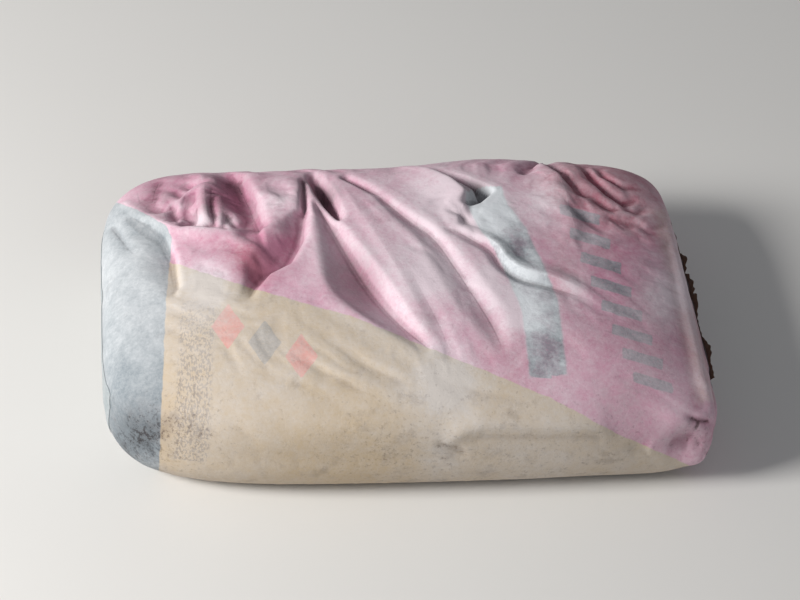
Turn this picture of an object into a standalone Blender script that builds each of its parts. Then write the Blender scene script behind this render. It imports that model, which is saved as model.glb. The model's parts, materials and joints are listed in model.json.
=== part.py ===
"""A filled paper cement sack, lying on its side panel.

The sack is one soft block: a paper tube with its cement inside.  Its two
block ends each carry a pasted cover sheet, and the flap of the filling valve
is folded flat against the far side, next to the right end.

Metres, +Z up, +X along the length towards the slack (right) end.  The origin
is the middle of the footprint, on the floor.
"""

from math import exp, tanh
from typing import NamedTuple

import bmesh
import bpy
from mathutils import Vector

# Overall size, with the cover sheets in place
LENGTH = 0.625
WIDTH = 0.430
HEIGHT = 0.155

# Height of the top face near each end, where the charge has settled
LEFT_END_HEIGHT = 0.143
RIGHT_END_HEIGHT = 0.112
CREST_X = 0.0

# Where the sides are widest, as a share of the local height
WAIST = 0.46
# How fast the underside rounds down to the floor (1 only touches it)
UNDERSIDE_PRESS = 1.45
# How square the rounding is (2 is a circle, more is crisper)
SIDE_SQUARENESS = 2.7
LEFT_SQUARENESS = 3.3
RIGHT_SQUARENESS = 5.0
# How square the corners are, seen from above
LEFT_CORNER_SQUARENESS = 5.0
RIGHT_CORNER_SQUARENESS = 12.0
# How far the sides draw in at the ends, as a share of the half width
END_TAPER = 0.05
# The far side is drawn in by the deep pinch
PINCH_DEPTH = 0.032
PINCH_X = -0.080
PINCH_REACH = 0.150
# and bulges a little on both sides of it, as a share of the half width
FAR_BULGE = 0.0075
# How far the highest ridge stands above the settled charge
RIDGE_RISE = 0.0010
# The far right corner is drawn back a little
END_SKEW = 0.006
# The near right corner curls off the floor, from this share of the half length
CORNER_LIFT = 0.020
CORNER_START = 0.35

# Pasted paper
PAPER_GAP = 0.0004
COVER_THICKNESS = 0.0008
COVER_WIDTH = 0.270
COVER_BOTTOM = 0.026
COVER_TOP = 0.084
VALVE_THICKNESS = 0.0010
VALVE_LENGTH = 0.100
VALVE_BOTTOM = 0.040
VALVE_TOP = 0.078
VALVE_END_MARGIN = 0.050

# Loops cut in the starting cube
LOOPS_LENGTH = 46
LOOPS_WIDTH = 32
LOOPS_HEIGHT = 8

# The cover sheets stand out from the paper tube at both ends
BODY_HALF_LENGTH = LENGTH / 2 - PAPER_GAP - COVER_THICKNESS
HALF_WIDTH = WIDTH / 2


class Fold(NamedTuple):
    """One broad fold of the top face along a line of two or more places.

    Places are shares of the half length and half width.  A drop for each
    place and the reach, the distance from the line to where the fold ends,
    are in metres; a negative drop is a ridge.
    """

    line: tuple
    drops: tuple
    reach: float


# The hollow and the ridge of the far left crumple, with its smaller hollow, its
# rim and the fold of the grey end
LEFT_FOLDS = (
    Fold(((-0.57, 0.70), (-0.52, 0.48), (-0.48, 0.22)), (0.010, 0.018, 0.011), 0.028),
    Fold(((-0.64, 0.66), (-0.63, 0.44)), (-0.003, -0.003), 0.026),
    Fold(((-0.73, 0.50), (-0.68, 0.32)), (0.003, 0.005), 0.028),
    Fold(((-0.88, 0.42), (-0.74, 0.20), (-0.50, 0.13)), (-0.002, -0.003, -0.003), 0.026),
    Fold(((-0.81, 0.28), (-0.79, 0.05), (-0.77, -0.16)), (0.008, 0.010, 0.003), 0.034),
)
# The deep pinch and the long valleys that run out of it
PINCH_FOLDS = (
    Fold(((-0.33, 0.75), (-0.32, 0.40), (-0.34, 0.16)), (0.004, 0.005, 0.011), 0.028),
    Fold(((-0.34, 0.16), (-0.40, -0.01), (-0.53, -0.24)), (0.011, 0.015, 0.002), 0.027),
    Fold(((-0.27, 0.66), (-0.24, 0.48), (-0.22, 0.26)), (0.010, 0.016, 0.010), 0.023),
    Fold(((-0.22, 0.26), (-0.18, -0.02), (-0.12, -0.32)), (0.010, 0.016, 0.019), 0.034),
    Fold(((-0.12, -0.32), (0.01, -0.57)), (0.019, 0.001), 0.034),
    Fold(((-0.13, 0.52), (0.03, 0.22), (0.11, 0.00)), (0.002, 0.005, 0.006), 0.030),
    Fold(((0.11, 0.00), (0.21, -0.34), (0.28, -0.56)), (0.006, 0.007, 0.001), 0.034),
)
# The notch of the far edge and the flap beside it, the bulge across the
# stripe, and the crumple at the far right corner
RIGHT_FOLDS = (
    Fold(((0.21, 0.62), (0.31, 0.47), (0.27, 0.32)), (0.003, 0.011, 0.003), 0.026),
    Fold(((0.06, 0.70), (0.19, 0.45)), (-0.003, -0.006), 0.028),
    Fold(((0.26, 0.17), (0.38, -0.04), (0.58, -0.18)), (-0.004, -0.005, -0.003), 0.028),
    Fold(((0.57, 0.88), (0.54, 0.72)), (0.004, 0.003), 0.030),
    Fold(((0.70, 0.68), (0.82, 0.48), (0.64, 0.32)), (0.003, 0.006, 0.003), 0.034),
)
FOLDS = LEFT_FOLDS + PINCH_FOLDS + RIGHT_FOLDS


def clear_scene() -> None:
    """Remove the objects that the scene starts with."""
    for obj in list(bpy.data.objects):
        bpy.data.objects.remove(obj, do_unlink=True)


def make_collection(name: str) -> bpy.types.Collection:
    """Make a collection and link it to the scene."""
    collection = bpy.data.collections.new(name)
    bpy.context.scene.collection.children.link(collection)
    return collection


def make_material(name: str, colour: tuple, roughness: float) -> bpy.types.Material:
    """Make a plain Principled material."""
    material = bpy.data.materials.new(name)
    material.use_nodes = True
    shader = material.node_tree.nodes["Principled BSDF"]
    shader.inputs["Base Color"].default_value = (*colour, 1.0)
    shader.inputs["Roughness"].default_value = roughness
    shader.inputs["Metallic"].default_value = 0.0
    material.diffuse_color = (*colour, 1.0)
    return material


def blend(low: float, high: float, share: float) -> float:
    """Mix two values, with share held between 0 and 1."""
    share = min(max(share, 0.0), 1.0)
    return low + (high - low) * share


def local_height(x: float) -> float:
    """Height of the top face above the floor at a place along the sack."""
    crest = HEIGHT - RIDGE_RISE
    if x < CREST_X:
        run = (CREST_X - x) / (BODY_HALF_LENGTH + CREST_X)
        return blend(crest, LEFT_END_HEIGHT, run * run)
    run = (x - CREST_X) / (BODY_HALF_LENGTH - CREST_X)
    return blend(crest, RIGHT_END_HEIGHT, run * run)


def fold_depth(x: float, y: float) -> float:
    """How far the folds lower the top face at a place seen from above."""
    valley = 0.0
    ridge = 0.0
    place = Vector((x, y))
    for fold in FOLDS:
        spots = [Vector((a * BODY_HALF_LENGTH, b * HALF_WIDTH)) for a, b in fold.line]
        for first in range(len(spots) - 1):
            along = spots[first + 1] - spots[first]
            way = place - spots[first]
            share = min(max(way.dot(along) / along.length_squared, 0.0), 1.0)
            away = (way - along * share).length
            drop = blend(fold.drops[first], fold.drops[first + 1], share)
            drop *= max(1 - (away / fold.reach) ** 2, 0.0)
            valley = max(valley, drop)
            ridge = min(ridge, drop)
    return valley + ridge


def sack_point(p: float, q: float, r: float) -> Vector:
    """Turn a point of the cube from -1 to 1 into a point of the sack.

    The cube is rounded like a superellipse whose squareness changes from the
    full left end to the flat, creased right end.  The far side is drawn in
    at the pinch, and its right corner is drawn back.  The height then follows the settled charge, and the
    underside is pressed flat on the floor, but for the near right corner.
    """
    rim = max(abs(p), abs(q))
    if rim < 1e-9:
        rim = 1e-9
    end_share = abs(p) ** 6 / (abs(p) ** 6 + abs(q) ** 6 + 1e-12)
    right = 0.5 + 0.5 * tanh(2.5 * p)
    end_squareness = blend(LEFT_SQUARENESS, RIGHT_SQUARENESS, right)
    squareness = blend(SIDE_SQUARENESS, end_squareness, end_share)
    size = (rim**squareness + abs(r) ** squareness) ** (1 / squareness)
    outward = rim / size
    upward = r / size
    corner = blend(LEFT_CORNER_SQUARENESS, RIGHT_CORNER_SQUARENESS, right)
    reach = (abs(p) ** corner + abs(q) ** corner) ** (1 / corner)
    plan = outward / max(reach, 1e-9)
    along = p * plan
    across = q * plan * (1 - END_TAPER * along * along)
    x = BODY_HALF_LENGTH * along - END_SKEW * max(along, 0.0) ** 4 * max(across, 0.0)
    drawn = exp(-(((x - PINCH_X) / PINCH_REACH) ** 4))
    far = max(across, 0.0)
    y = HALF_WIDTH * (across + FAR_BULGE * far) - PINCH_DEPTH * drawn * far**3
    height = local_height(x)
    waist = WAIST * height
    corner_share = max((along - CORNER_START) / (1 - CORNER_START), 0.0) * max(-across, 0.0)
    lift = CORNER_LIFT * corner_share**1.5
    if upward < 0:
        return Vector((x, y, max(waist * (1 + UNDERSIDE_PRESS * upward), 0.0) + lift))
    z = waist + (height - waist) * upward + lift * (1 - upward)
    return Vector((x, y, z - fold_depth(x, y) * min(upward, 1.0) ** 2))


def cut_loops(mesh: bmesh.types.BMesh, axis: int, count: int) -> None:
    """Cut the cube into equal slices along one axis."""
    normal = Vector((0, 0, 0))
    normal[axis] = 1
    for step in range(1, count):
        bmesh.ops.bisect_plane(
            mesh,
            geom=mesh.verts[:] + mesh.edges[:] + mesh.faces[:],
            dist=1e-6,
            plane_co=normal * (2 * step / count - 1),
            plane_no=normal,
        )


def make_sack_mesh() -> bmesh.types.BMesh:
    """Make the soft block as a cube whose vertices follow sack_point."""
    mesh = bmesh.new()
    bmesh.ops.create_cube(mesh, size=2.0)
    for axis, count in enumerate((LOOPS_LENGTH, LOOPS_WIDTH, LOOPS_HEIGHT)):
        cut_loops(mesh, axis, count)
    for vertex in mesh.verts:
        vertex.co = sack_point(*vertex.co)
    bmesh.ops.recalc_face_normals(mesh, faces=mesh.faces[:])
    return mesh


def add_object(
    name: str,
    mesh: bmesh.types.BMesh,
    material: bpy.types.Material,
    collection: bpy.types.Collection,
) -> bpy.types.Object:
    """Turn a finished bmesh into an object of the collection."""
    data = bpy.data.meshes.new(name)
    mesh.to_mesh(data)
    data.materials.append(material)
    data.shade_smooth()
    obj = bpy.data.objects.new(name, data)
    collection.objects.link(obj)
    return obj


def trim(mesh: bmesh.types.BMesh, place: Vector, keep_side: Vector) -> None:
    """Cut a sheet by a plane and keep what lies on the side of keep_side."""
    bmesh.ops.bisect_plane(
        mesh,
        geom=mesh.verts[:] + mesh.edges[:] + mesh.faces[:],
        dist=1e-7,
        plane_co=place,
        plane_no=keep_side,
        clear_inner=True,
    )


def make_paper_sheet(
    name: str,
    sack: bmesh.types.BMesh,
    edges: list,
    thickness: float,
    material: bpy.types.Material,
    collection: bpy.types.Collection,
) -> bpy.types.Object:
    """Lay a sheet of paper on the sack, inside the given cutting planes."""
    sheet = sack.copy()
    for place, keep_side in edges:
        trim(sheet, Vector(place), Vector(keep_side))
    sheet.normal_update()
    moved = [(v, v.co + v.normal * PAPER_GAP) for v in sheet.verts]
    for vertex, target in moved:
        vertex.co = target
    obj = add_object(name, sheet, material, collection)
    sheet.free()
    solid = obj.modifiers.new("Paper thickness", "SOLIDIFY")
    solid.thickness = thickness
    solid.offset = 1.0
    solid.use_even_offset = False
    return obj


def end_cover_edges(side: int) -> list:
    """Cutting planes of the cover sheet on the left (-1) or right (+1) end."""
    return [
        ((side * BODY_HALF_LENGTH * 0.80, 0, 0), (side, 0, 0)),
        ((0, -COVER_WIDTH / 2, 0), (0, 1, 0)),
        ((0, COVER_WIDTH / 2, 0), (0, -1, 0)),
        ((0, 0, COVER_BOTTOM), (0, 0, 1)),
        ((0, 0, COVER_TOP), (0, 0, -1)),
    ]


def valve_edges() -> list:
    """Cutting planes of the valve flap on the far side, by the right end."""
    valve_end = BODY_HALF_LENGTH - VALVE_END_MARGIN
    return [
        ((0, HALF_WIDTH * 0.60, 0), (0, 1, 0)),
        ((valve_end - VALVE_LENGTH, 0, 0), (1, 0, 0)),
        ((valve_end, 0, 0), (-1, 0, 0)),
        ((0, 0, VALVE_BOTTOM), (0, 0, 1)),
        ((0, 0, VALVE_TOP), (0, 0, -1)),
    ]


def main() -> None:
    """Build the sack and its pasted paper."""
    clear_scene()
    bpy.context.scene.unit_settings.system = "METRIC"
    collection = make_collection("cement_bag")
    printed_paper = make_material("printed_kraft_paper", (0.56, 0.40, 0.38), 0.85)
    cover_paper = make_material("dusty_cover_paper", (0.55, 0.56, 0.55), 0.9)
    valve_paper = make_material("kraft_valve_paper", (0.45, 0.33, 0.22), 0.9)

    sack = make_sack_mesh()
    add_object("filled_sack", sack, printed_paper, collection)
    for name, side in (("end_cover_left", -1), ("end_cover_right", 1)):
        make_paper_sheet(
            name, sack, end_cover_edges(side), COVER_THICKNESS, cover_paper, collection
        )
    make_paper_sheet(
        "valve_flap", sack, valve_edges(), VALVE_THICKNESS, valve_paper, collection
    )
    sack.free()


if __name__ == "__main__":
    main()
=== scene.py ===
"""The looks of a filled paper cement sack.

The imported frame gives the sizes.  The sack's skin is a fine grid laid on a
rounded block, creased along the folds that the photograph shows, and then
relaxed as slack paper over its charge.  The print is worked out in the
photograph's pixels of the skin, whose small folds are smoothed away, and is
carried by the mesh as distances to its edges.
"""

import json
import logging
import math
from dataclasses import dataclass, field, replace
from enum import Enum
from typing import Sequence

import bpy
import numpy as np
from mathutils import Matrix, Vector

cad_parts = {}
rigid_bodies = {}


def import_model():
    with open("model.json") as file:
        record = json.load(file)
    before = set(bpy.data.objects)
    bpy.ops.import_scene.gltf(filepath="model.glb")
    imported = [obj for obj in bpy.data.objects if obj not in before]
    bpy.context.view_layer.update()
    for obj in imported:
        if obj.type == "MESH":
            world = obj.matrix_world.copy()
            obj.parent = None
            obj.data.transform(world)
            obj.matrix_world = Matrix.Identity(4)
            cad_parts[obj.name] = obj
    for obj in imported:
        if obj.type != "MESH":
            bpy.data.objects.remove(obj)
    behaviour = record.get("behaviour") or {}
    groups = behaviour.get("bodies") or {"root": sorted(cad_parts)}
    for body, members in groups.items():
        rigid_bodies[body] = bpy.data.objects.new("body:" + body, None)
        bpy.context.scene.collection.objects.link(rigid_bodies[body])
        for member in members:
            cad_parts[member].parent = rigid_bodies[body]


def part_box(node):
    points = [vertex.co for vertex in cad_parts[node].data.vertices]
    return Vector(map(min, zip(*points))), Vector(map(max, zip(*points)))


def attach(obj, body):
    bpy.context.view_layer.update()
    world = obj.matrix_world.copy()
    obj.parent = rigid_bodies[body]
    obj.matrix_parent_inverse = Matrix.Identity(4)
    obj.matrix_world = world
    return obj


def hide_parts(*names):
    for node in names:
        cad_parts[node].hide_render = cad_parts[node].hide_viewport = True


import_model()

Array = np.ndarray
Pair = tuple[float, float]
Pixel = tuple[float, float]

LOG = logging.getLogger("cement_sack")
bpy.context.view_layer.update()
MM = 0.001


class End(Enum):
    """The two ends of the sack, along X."""

    LEFT = -1
    RIGHT = 1


# The form of the sack


@dataclass(frozen=True)
class SackForm:
    """The rounded block that the paper lies on, as the CAD model has it.

    Attributes:
        half_length: Half the paper tube's length along X.
        half_width: Half the width along Y.
        height: Height at the middle of the top face.
        left_height: Height of the top face at the left end.
        right_height: Height of the top face at the right end.
        waist: Where the sides are widest, as a share of the local height.
        press: How fast the underside rounds down to the floor.
        side_squareness: Squareness of the long sides' rounding.
        left_squareness: Squareness of the left end's rounding.
        right_squareness: Squareness of the right end's rounding.
        left_corner: Squareness of the left corners, seen from above.
        right_corner: Squareness of the right corners, seen from above.
        taper: How far the sides draw in at the ends, as a share.
        pinch_depth: How far the far side is drawn in by the deep pinch.
        pinch_x: Middle of the drawn-in stretch.
        pinch_reach: Half length of the drawn-in stretch.
        corner_lift: How far the near right corner curls off the floor.
        end_skew: How far the far right corner lies back along X.
        corner_turn: How sharply the ends' rounding takes over at the corners.
        end_change: How fast the left half's form gives way to the right's.
        curl_start: Where the corner's curl starts, as a share of half_length.
    """

    half_length: float
    half_width: float
    height: float
    left_height: float = 0.143
    right_height: float = 0.112
    waist: float = 0.46
    press: float = 1.45
    side_squareness: float = 2.7
    left_squareness: float = 3.3
    right_squareness: float = 5.0
    left_corner: float = 5.0
    right_corner: float = 12.0
    taper: float = 0.05
    pinch_depth: float = 0.032
    pinch_x: float = -0.080
    pinch_reach: float = 0.150
    corner_lift: float = 0.020
    end_skew: float = 0.006
    corner_turn: int = 6
    end_change: float = 2.5
    curl_start: float = 0.35

    def surface(self, cube: Array) -> tuple[Array, Array]:
        """Carry points of the cube from -1 to 1 onto the sack.

        A point of the cube is pulled onto a superellipse, whose squareness
        changes from the full left end to the flat right end, first in its
        upright section and then in its plan.  The height follows the settled
        charge, and the underside is pressed flat on the floor.

        Args:
            cube: Points of the cube's surface, one a row.

        Returns:
            The points on the sack, and how far up each faces, from -1 to 1.
        """
        p, q, r = cube.T
        rim = np.maximum(np.maximum(np.abs(p), np.abs(q)), 1e-9)
        ends, sides = np.abs(p) ** self.corner_turn, np.abs(q) ** self.corner_turn
        end_share = ends / (ends + sides + 1e-12)
        right = 0.5 + 0.5 * np.tanh(self.end_change * p)
        end_squareness = mix(self.left_squareness, self.right_squareness, right)
        squareness = mix(self.side_squareness, end_squareness, end_share)
        size = (rim**squareness + np.abs(r) ** squareness) ** (1 / squareness)
        outward, upward = rim / size, r / size
        corner = mix(self.left_corner, self.right_corner, right)
        reach = (np.abs(p) ** corner + np.abs(q) ** corner) ** (1 / corner)
        plan = outward / np.maximum(reach, 1e-9)
        along = p * plan
        across = q * plan * (1 - self.taper * along**2)
        x = self.half_length * along
        x = x - self.end_skew * np.clip(along, 0, 1) ** 4 * np.clip(across, 0, 1)
        drawn = np.exp(-(((x - self.pinch_x) / self.pinch_reach) ** 4))
        y = self.half_width * across
        y = y - self.pinch_depth * drawn * np.clip(across, 0, 1) ** 3
        end_height = np.where(x < 0, self.left_height, self.right_height)
        height = mix(self.height, end_height, along**2)
        waist = self.waist * height
        below = np.maximum(waist * (1 + self.press * upward), 0.0)
        z = np.where(upward < 0, below, waist + (height - waist) * upward)
        corner_share = np.clip((along - self.curl_start) / (1 - self.curl_start), 0, 1)
        corner_share = corner_share * np.clip(-across, 0, 1)
        z = z + self.corner_lift * corner_share**1.5 * (1 - np.clip(upward, 0, 1))
        return np.stack([x, y, z], -1), upward


def mix(low: Array | float, high: Array | float, share: Array) -> Array:
    """Blend two values by a share from 0 to 1."""
    return low + (high - low) * share


def lengths(vectors: Array) -> Array:
    """Length of each row vector."""
    return np.sqrt(np.einsum("...i,...i->...", vectors, vectors))


def even_steps(form: SackForm, where: tuple, count: int) -> Array:
    """Cut a line on the sack into equal lengths.

    Args:
        form: The sack's rounded block.
        where: The line's place on the cube, None for the coordinate that runs.
        count: Number of lengths.

    Returns:
        The running coordinate from -1 to 1 at each cut, ends included.
    """
    fine = np.linspace(-1, 1, 4001)
    rows = [fine if c is None else np.full_like(fine, c) for c in where]
    curve = form.surface(np.stack(rows, -1))[0]
    run = np.concatenate([[0.0], np.cumsum(lengths(np.diff(curve, axis=0)))])
    return np.interp(np.linspace(0, run[-1], count + 1), run, fine)


class SkinGrid:
    """A cube's surface cut into a grid, whose points lie on the sack.

    Attributes:
        counts: Cells along X, Y and Z.
        ids: Vertex number of each point of the lattice, -1 inside it.
        place: Lattice indices of each vertex.
        base: Each vertex on the unfolded sack.
        upward: How far up each vertex faces, from -1 to 1.
        normal: Outward normal of the unfolded sack.
        rings: For each axis, the closed rings of vertices around it.
        patches: The six faces' vertex numbers, each a grid.
        quads: All faces, corners in order, facing outwards.
    """

    def __init__(self, form: SackForm, counts: tuple[int, int, int]) -> None:
        """Lay the grid on the sack.

        Args:
            form: The sack's rounded block.
            counts: Cells along X, Y and Z.
        """
        self.counts = counts
        middles = ((None, 0, 1), (0, None, 1), (0, -1, None))
        steps = [even_steps(form, line, n) for line, n in zip(middles, counts)]
        axes = [np.arange(count + 1) for count in counts]
        lattice = np.stack(np.meshgrid(*axes, indexing="ij"), -1)
        outer = ((lattice == 0) | (lattice == np.array(counts))).any(-1)
        self.ids = np.full(outer.shape, -1)
        self.ids[outer] = np.arange(outer.sum())
        self.place = lattice[outer]
        cube = np.stack([steps[a][self.place[:, a]] for a in range(3)], -1)
        self.base, self.upward = form.surface(cube)
        self.rings = [self._rings_around(axis) for axis in range(3)]
        self.patches, self.quads = self._faces()
        self.normal = self.normals(self.base)

    def _rings_around(self, axis: int) -> Array:
        """Find the closed rings of vertices around one axis.

        Args:
            axis: The axis, 0 for X, 1 for Y and 2 for Z.

        Returns:
            The rings, one a row.
        """
        a, b = (self.counts[k] for k in range(3) if k != axis)
        first = [np.arange(a), np.full(b, a), np.arange(a, 0, -1), np.zeros(b, int)]
        second = [np.zeros(a, int), np.arange(b), np.full(a, b), np.arange(b, 0, -1)]
        layers = np.moveaxis(self.ids, axis, 0)
        return layers[:, np.concatenate(first), np.concatenate(second)]

    def _faces(self) -> tuple[list[Array], Array]:
        """Find the cube's faces.

        Returns:
            The six faces as grids of vertices, and all as outward quads.
        """
        ids = self.ids
        patches = [ids[:, :, -1], ids[:, :, 0], ids[:, 0], ids[:, -1], ids[-1], ids[0]]
        quads = []
        for number, grid in enumerate(patches):
            corners = [grid[:-1, :-1], grid[1:, :-1], grid[1:, 1:], grid[:-1, 1:]]
            faces = np.stack(corners, -1).reshape(-1, 4)
            quads.append(faces[:, ::-1] if number % 2 else faces)
        return patches, np.concatenate(quads)

    def shell(self, step: int) -> tuple[Array, Array]:
        """All faces, the flat underside's being step cells wide and long.

        Each wide face keeps the points between its corners only on the
        underside's rim, where the fine faces of the walls meet it.

        Args:
            step: Cells along each side of a wide face.

        Returns:
            The faces' corners one after another, and each face's count.
        """
        under = self.patches[1]
        nx, ny = (n // step for n in self.counts[:2])
        a, b = (axis.ravel() for axis in np.meshgrid(range(nx), range(ny), indexing="ij"))
        run, still = np.arange(step), np.zeros(step, int)
        ring_x = np.concatenate([run, still + step, step - run, still])
        ring_y = np.concatenate([still, run, still + step, step - run])
        face = under[a[:, None] * step + ring_x, b[:, None] * step + ring_y]
        on_rim = np.stack([b == 0, a == nx - 1, b == ny - 1, a == 0], -1)
        keep = np.repeat(on_rim, step, axis=1) | (np.arange(4 * step) % step == 0)
        face, keep = face[:, ::-1], keep[:, ::-1]
        fine = self.quads[~np.isin(self.quads, under).all(1)]
        corners = np.concatenate([fine.ravel(), face[keep]])
        return corners, np.concatenate([np.full(len(fine), 4), keep.sum(1)])

    def normals(self, points: Array) -> Array:
        """Smooth outward normals: the sum of the faces' normals around.

        Args:
            points: The vertices' places.

        Returns:
            One unit normal for each vertex.
        """
        a, b, c, d = (points[self.quads[:, k]] for k in range(4))
        faces = np.cross(c - a, d - b)
        total = np.zeros_like(points)
        for corner in range(4):
            for axis in range(3):
                total[:, axis] += np.bincount(
                    self.quads[:, corner], faces[:, axis], len(points)
                )
        return total / np.maximum(lengths(total)[:, None], 1e-12)

    def smoothed(self, values: Array, passes: int) -> Array:
        """Average a value over neighbours, by way of the faces' means.

        Args:
            values: One number or row for each vertex.
            passes: How often they are averaged.

        Returns:
            The averaged values.
        """
        share = np.bincount(self.quads.ravel(), minlength=len(values))
        for _ in range(passes):
            face = np.repeat(values[self.quads].mean(1), 4, axis=0)
            columns = np.atleast_2d(face.T)
            sums = [np.bincount(self.quads.ravel(), c, len(values)) / share for c in columns]
            values = np.stack(sums, -1).reshape(values.shape)
        return values

    def fitted(self, values: Array, passes: int) -> Array:
        """Smooth a value without bending an even slope where cells change.

        The plane that fits the averaged neighbours best is read at the
        vertex: mean value + slope . (vertex - mean place), where slope is
        the places' spread, inverted, times their spread with the values.

        Args:
            values: One number for each vertex.
            passes: Passes of the averaging.

        Returns:
            The smoothed numbers.
        """
        if not passes:
            return values
        base, normal = self.base, self.normal
        squares = np.einsum("ij,ik->ijk", base, base).reshape(-1, 9)
        table = np.column_stack([values, base, values[:, None] * base, squares])
        mean = self.smoothed(table, passes)
        value, place = mean[:, 0], mean[:, 1:4]
        pull = mean[:, 4:7] - value[:, None] * place
        spread = mean[:, 7:].reshape(-1, 3, 3) - np.einsum("ij,ik->ijk", place, place)
        size = np.trace(spread, axis1=1, axis2=2)[:, None, None]
        spread += size * np.einsum("ij,ik->ijk", normal, normal)
        slope = np.linalg.solve(spread, pull[:, :, None])[:, :, 0]
        return value + np.einsum("ij,ij->i", slope, base - place)

    def lifted(self, coarse: "SkinGrid", offset: Array) -> Array:
        """Carry an offset from a grid half as fine, by means of neighbours.

        Args:
            coarse: The grid half as fine.
            offset: One row for each of its vertices.

        Returns:
            One row for each vertex of this grid.
        """
        shape = tuple(n + 1 for n in coarse.counts) + (3,)
        full = np.zeros(shape)
        full[tuple(coarse.place.T)] = offset
        low, high = self.place // 2, (self.place + 1) // 2
        total = np.zeros((len(self.place), 3))
        for pick in np.ndindex(2, 2, 2):
            total += full[tuple(np.where(pick, high, low).T)]
        return total / 8


# The photograph's view


@dataclass(frozen=True)
class PhotoView:
    """The camera that the photograph was fitted with.

    Attributes:
        azimuth: Turn of the view from +Y, in degrees.
        elevation: Height of the camera above the horizon, in degrees.
        roll: Turn of the picture, in degrees.
        distance: Distance from the camera to the point that it looks at.
        aim_height: Height of that point over the origin.
        focal: Focal length in pixels of the photograph.
        centre: Pixel of the photograph where that point shows.
    """

    azimuth: float = -7.7
    elevation: float = 42.0
    roll: float = 4.2
    distance: float = 2.91
    aim_height: float = 0.082
    focal: float = 1600.0
    centre: Pixel = (597.3, 482.8)

    def axes(self) -> tuple[Array, Array, Array]:
        """The camera's directions before its roll.

        Returns:
            Its right, its up and its backward direction.
        """
        turn, rise = math.radians(self.azimuth), math.radians(self.elevation)
        level = math.cos(rise)
        back = np.array([math.sin(turn) * level, -math.cos(turn) * level, math.sin(rise)])
        right = np.cross(-back, [0.0, 0.0, 1.0])
        right /= np.linalg.norm(right)
        return right, np.cross(right, -back), back

    def eye(self) -> Array:
        """Where the camera stands."""
        return np.array([0.0, 0.0, self.aim_height]) + self.axes()[2] * self.distance

    def pixels(self, points: Array) -> Array:
        """Project points into the photograph's pixels.

        Args:
            points: Points in metres, one a row.

        Returns:
            Their pixels, one a row.
        """
        right, up, back = self.axes()
        ray = points - self.eye()
        depth = -(ray @ back)
        u, v = self.focal * (ray @ right) / depth, -self.focal * (ray @ up) / depth
        c, s = math.cos(math.radians(self.roll)), math.sin(math.radians(self.roll))
        return np.stack([self.centre[0] + c * u - s * v, self.centre[1] + s * u + c * v], 1)


class PhotoMap:
    """Finds the point of the unfolded sack that a photograph's pixel shows."""

    LEAST_FACING = -0.05
    NEAREST = 4
    SPREAD = 1.5

    def __init__(self, grid: SkinGrid, view: PhotoView) -> None:
        """Project the grid once.

        Args:
            grid: The finest grid of the sack.
            view: The photograph's camera.
        """
        self.grid = grid
        self.seen = view.pixels(grid.base)
        self.hidden = (grid.normal @ view.axes()[2]) < self.LEAST_FACING

    def points(self, pixels: Sequence[Pixel]) -> Array:
        """Find places by averaging the vertices nearest to each pixel.

        Args:
            pixels: Pixels of the photograph.

        Returns:
            Their places on the unfolded sack, one a row.
        """
        found = []
        for pixel in pixels:
            away = lengths(self.seen - np.array(pixel)) + 1e3 * self.hidden
            near = np.argsort(away)[: self.NEAREST]
            near = near[away[near] < away[near[0]] + self.SPREAD]
            weight = 1 / (away[near] + 0.05)
            found.append((self.grid.base[near] * weight[:, None]).sum(0) / weight.sum())
        return np.array(found)


# Folds


@dataclass(frozen=True)
class Crease:
    """One crease of the paper, as the photograph shows it.

    Attributes:
        path: Pixels of the photograph along the crease.
        lift: Height of the paper along it in mm; a valley is negative.
        left: Reach in mm on the side to the right of the path's direction,
            which is the picture's left where the path runs down.  One
            number holds all along the path.
        right: Reach in mm on the other side, given in the same way.
        power: How the flank falls off, 1 for a straight flank.
        over: How far the crease goes on down the far side, in mm.
        curved: Whether the path's corners are rounded.
    """

    path: tuple[Pixel, ...]
    lift: tuple[float, ...]
    left: tuple[float, ...] | float
    right: tuple[float, ...] | float
    power: float = 1.3
    over: float = 0.0
    curved: bool = False

    DOWN_FAR_SIDE = (0.0, 0.45, -0.9)
    FADED = 0.2

    def __post_init__(self) -> None:
        """Give each point of the path its own reach."""
        for side in ("left", "right"):
            if not isinstance(getattr(self, side), tuple):
                object.__setattr__(self, side, (getattr(self, side),) * len(self.path))

    def on_sack(self, photo: PhotoMap) -> tuple[Array, "Crease"]:
        """Carry the path onto the sack, with its stretch down the far side.

        Args:
            photo: Finds the points that pixels show.

        Returns:
            The path's points, and the crease with as many lifts and reaches.
        """
        if len(self.path[0]) == 3:
            return np.array(self.path), self
        points = photo.points(self.path)
        if self.curved:
            return self._rounded(points)
        if not self.over:
            return points, self
        beyond = points[0] + np.array(self.DOWN_FAR_SIDE) * self.over * MM
        longer = replace(
            self,
            lift=(self.FADED * self.lift[0], *self.lift),
            left=(self.left[0], *self.left),
            right=(self.right[0], *self.right),
        )
        return np.vstack([beyond, points]), longer

    def _rounded(self, points: Array, rounds: int = 2) -> tuple[Array, "Crease"]:
        """Cut each inner corner of the path at a quarter of its stretches.

        Args:
            points: The path's points.
            rounds: How many times the corners are cut.

        Returns:
            The new points, and the crease with as many lifts and reaches.
        """
        rows = np.column_stack([points, self.lift, self.left, self.right])
        for _ in range(rounds):
            near = 0.75 * rows[:-1] + 0.25 * rows[1:]
            far = 0.25 * rows[:-1] + 0.75 * rows[1:]
            cut = np.stack([near, far], axis=1).reshape(-1, rows.shape[1])
            rows = np.vstack([rows[:1], cut[1:-1], rows[-1:]])
        lift, left, right = (tuple(column) for column in rows[:, 3:].T)
        return rows[:, :3], replace(self, lift=lift, left=left, right=right)


def crease_table(*rows: tuple) -> tuple[Crease, ...]:
    """Make creases from rows of path, lift, left, right, power, over, curved."""
    return tuple(Crease(*row) for row in rows)


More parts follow.
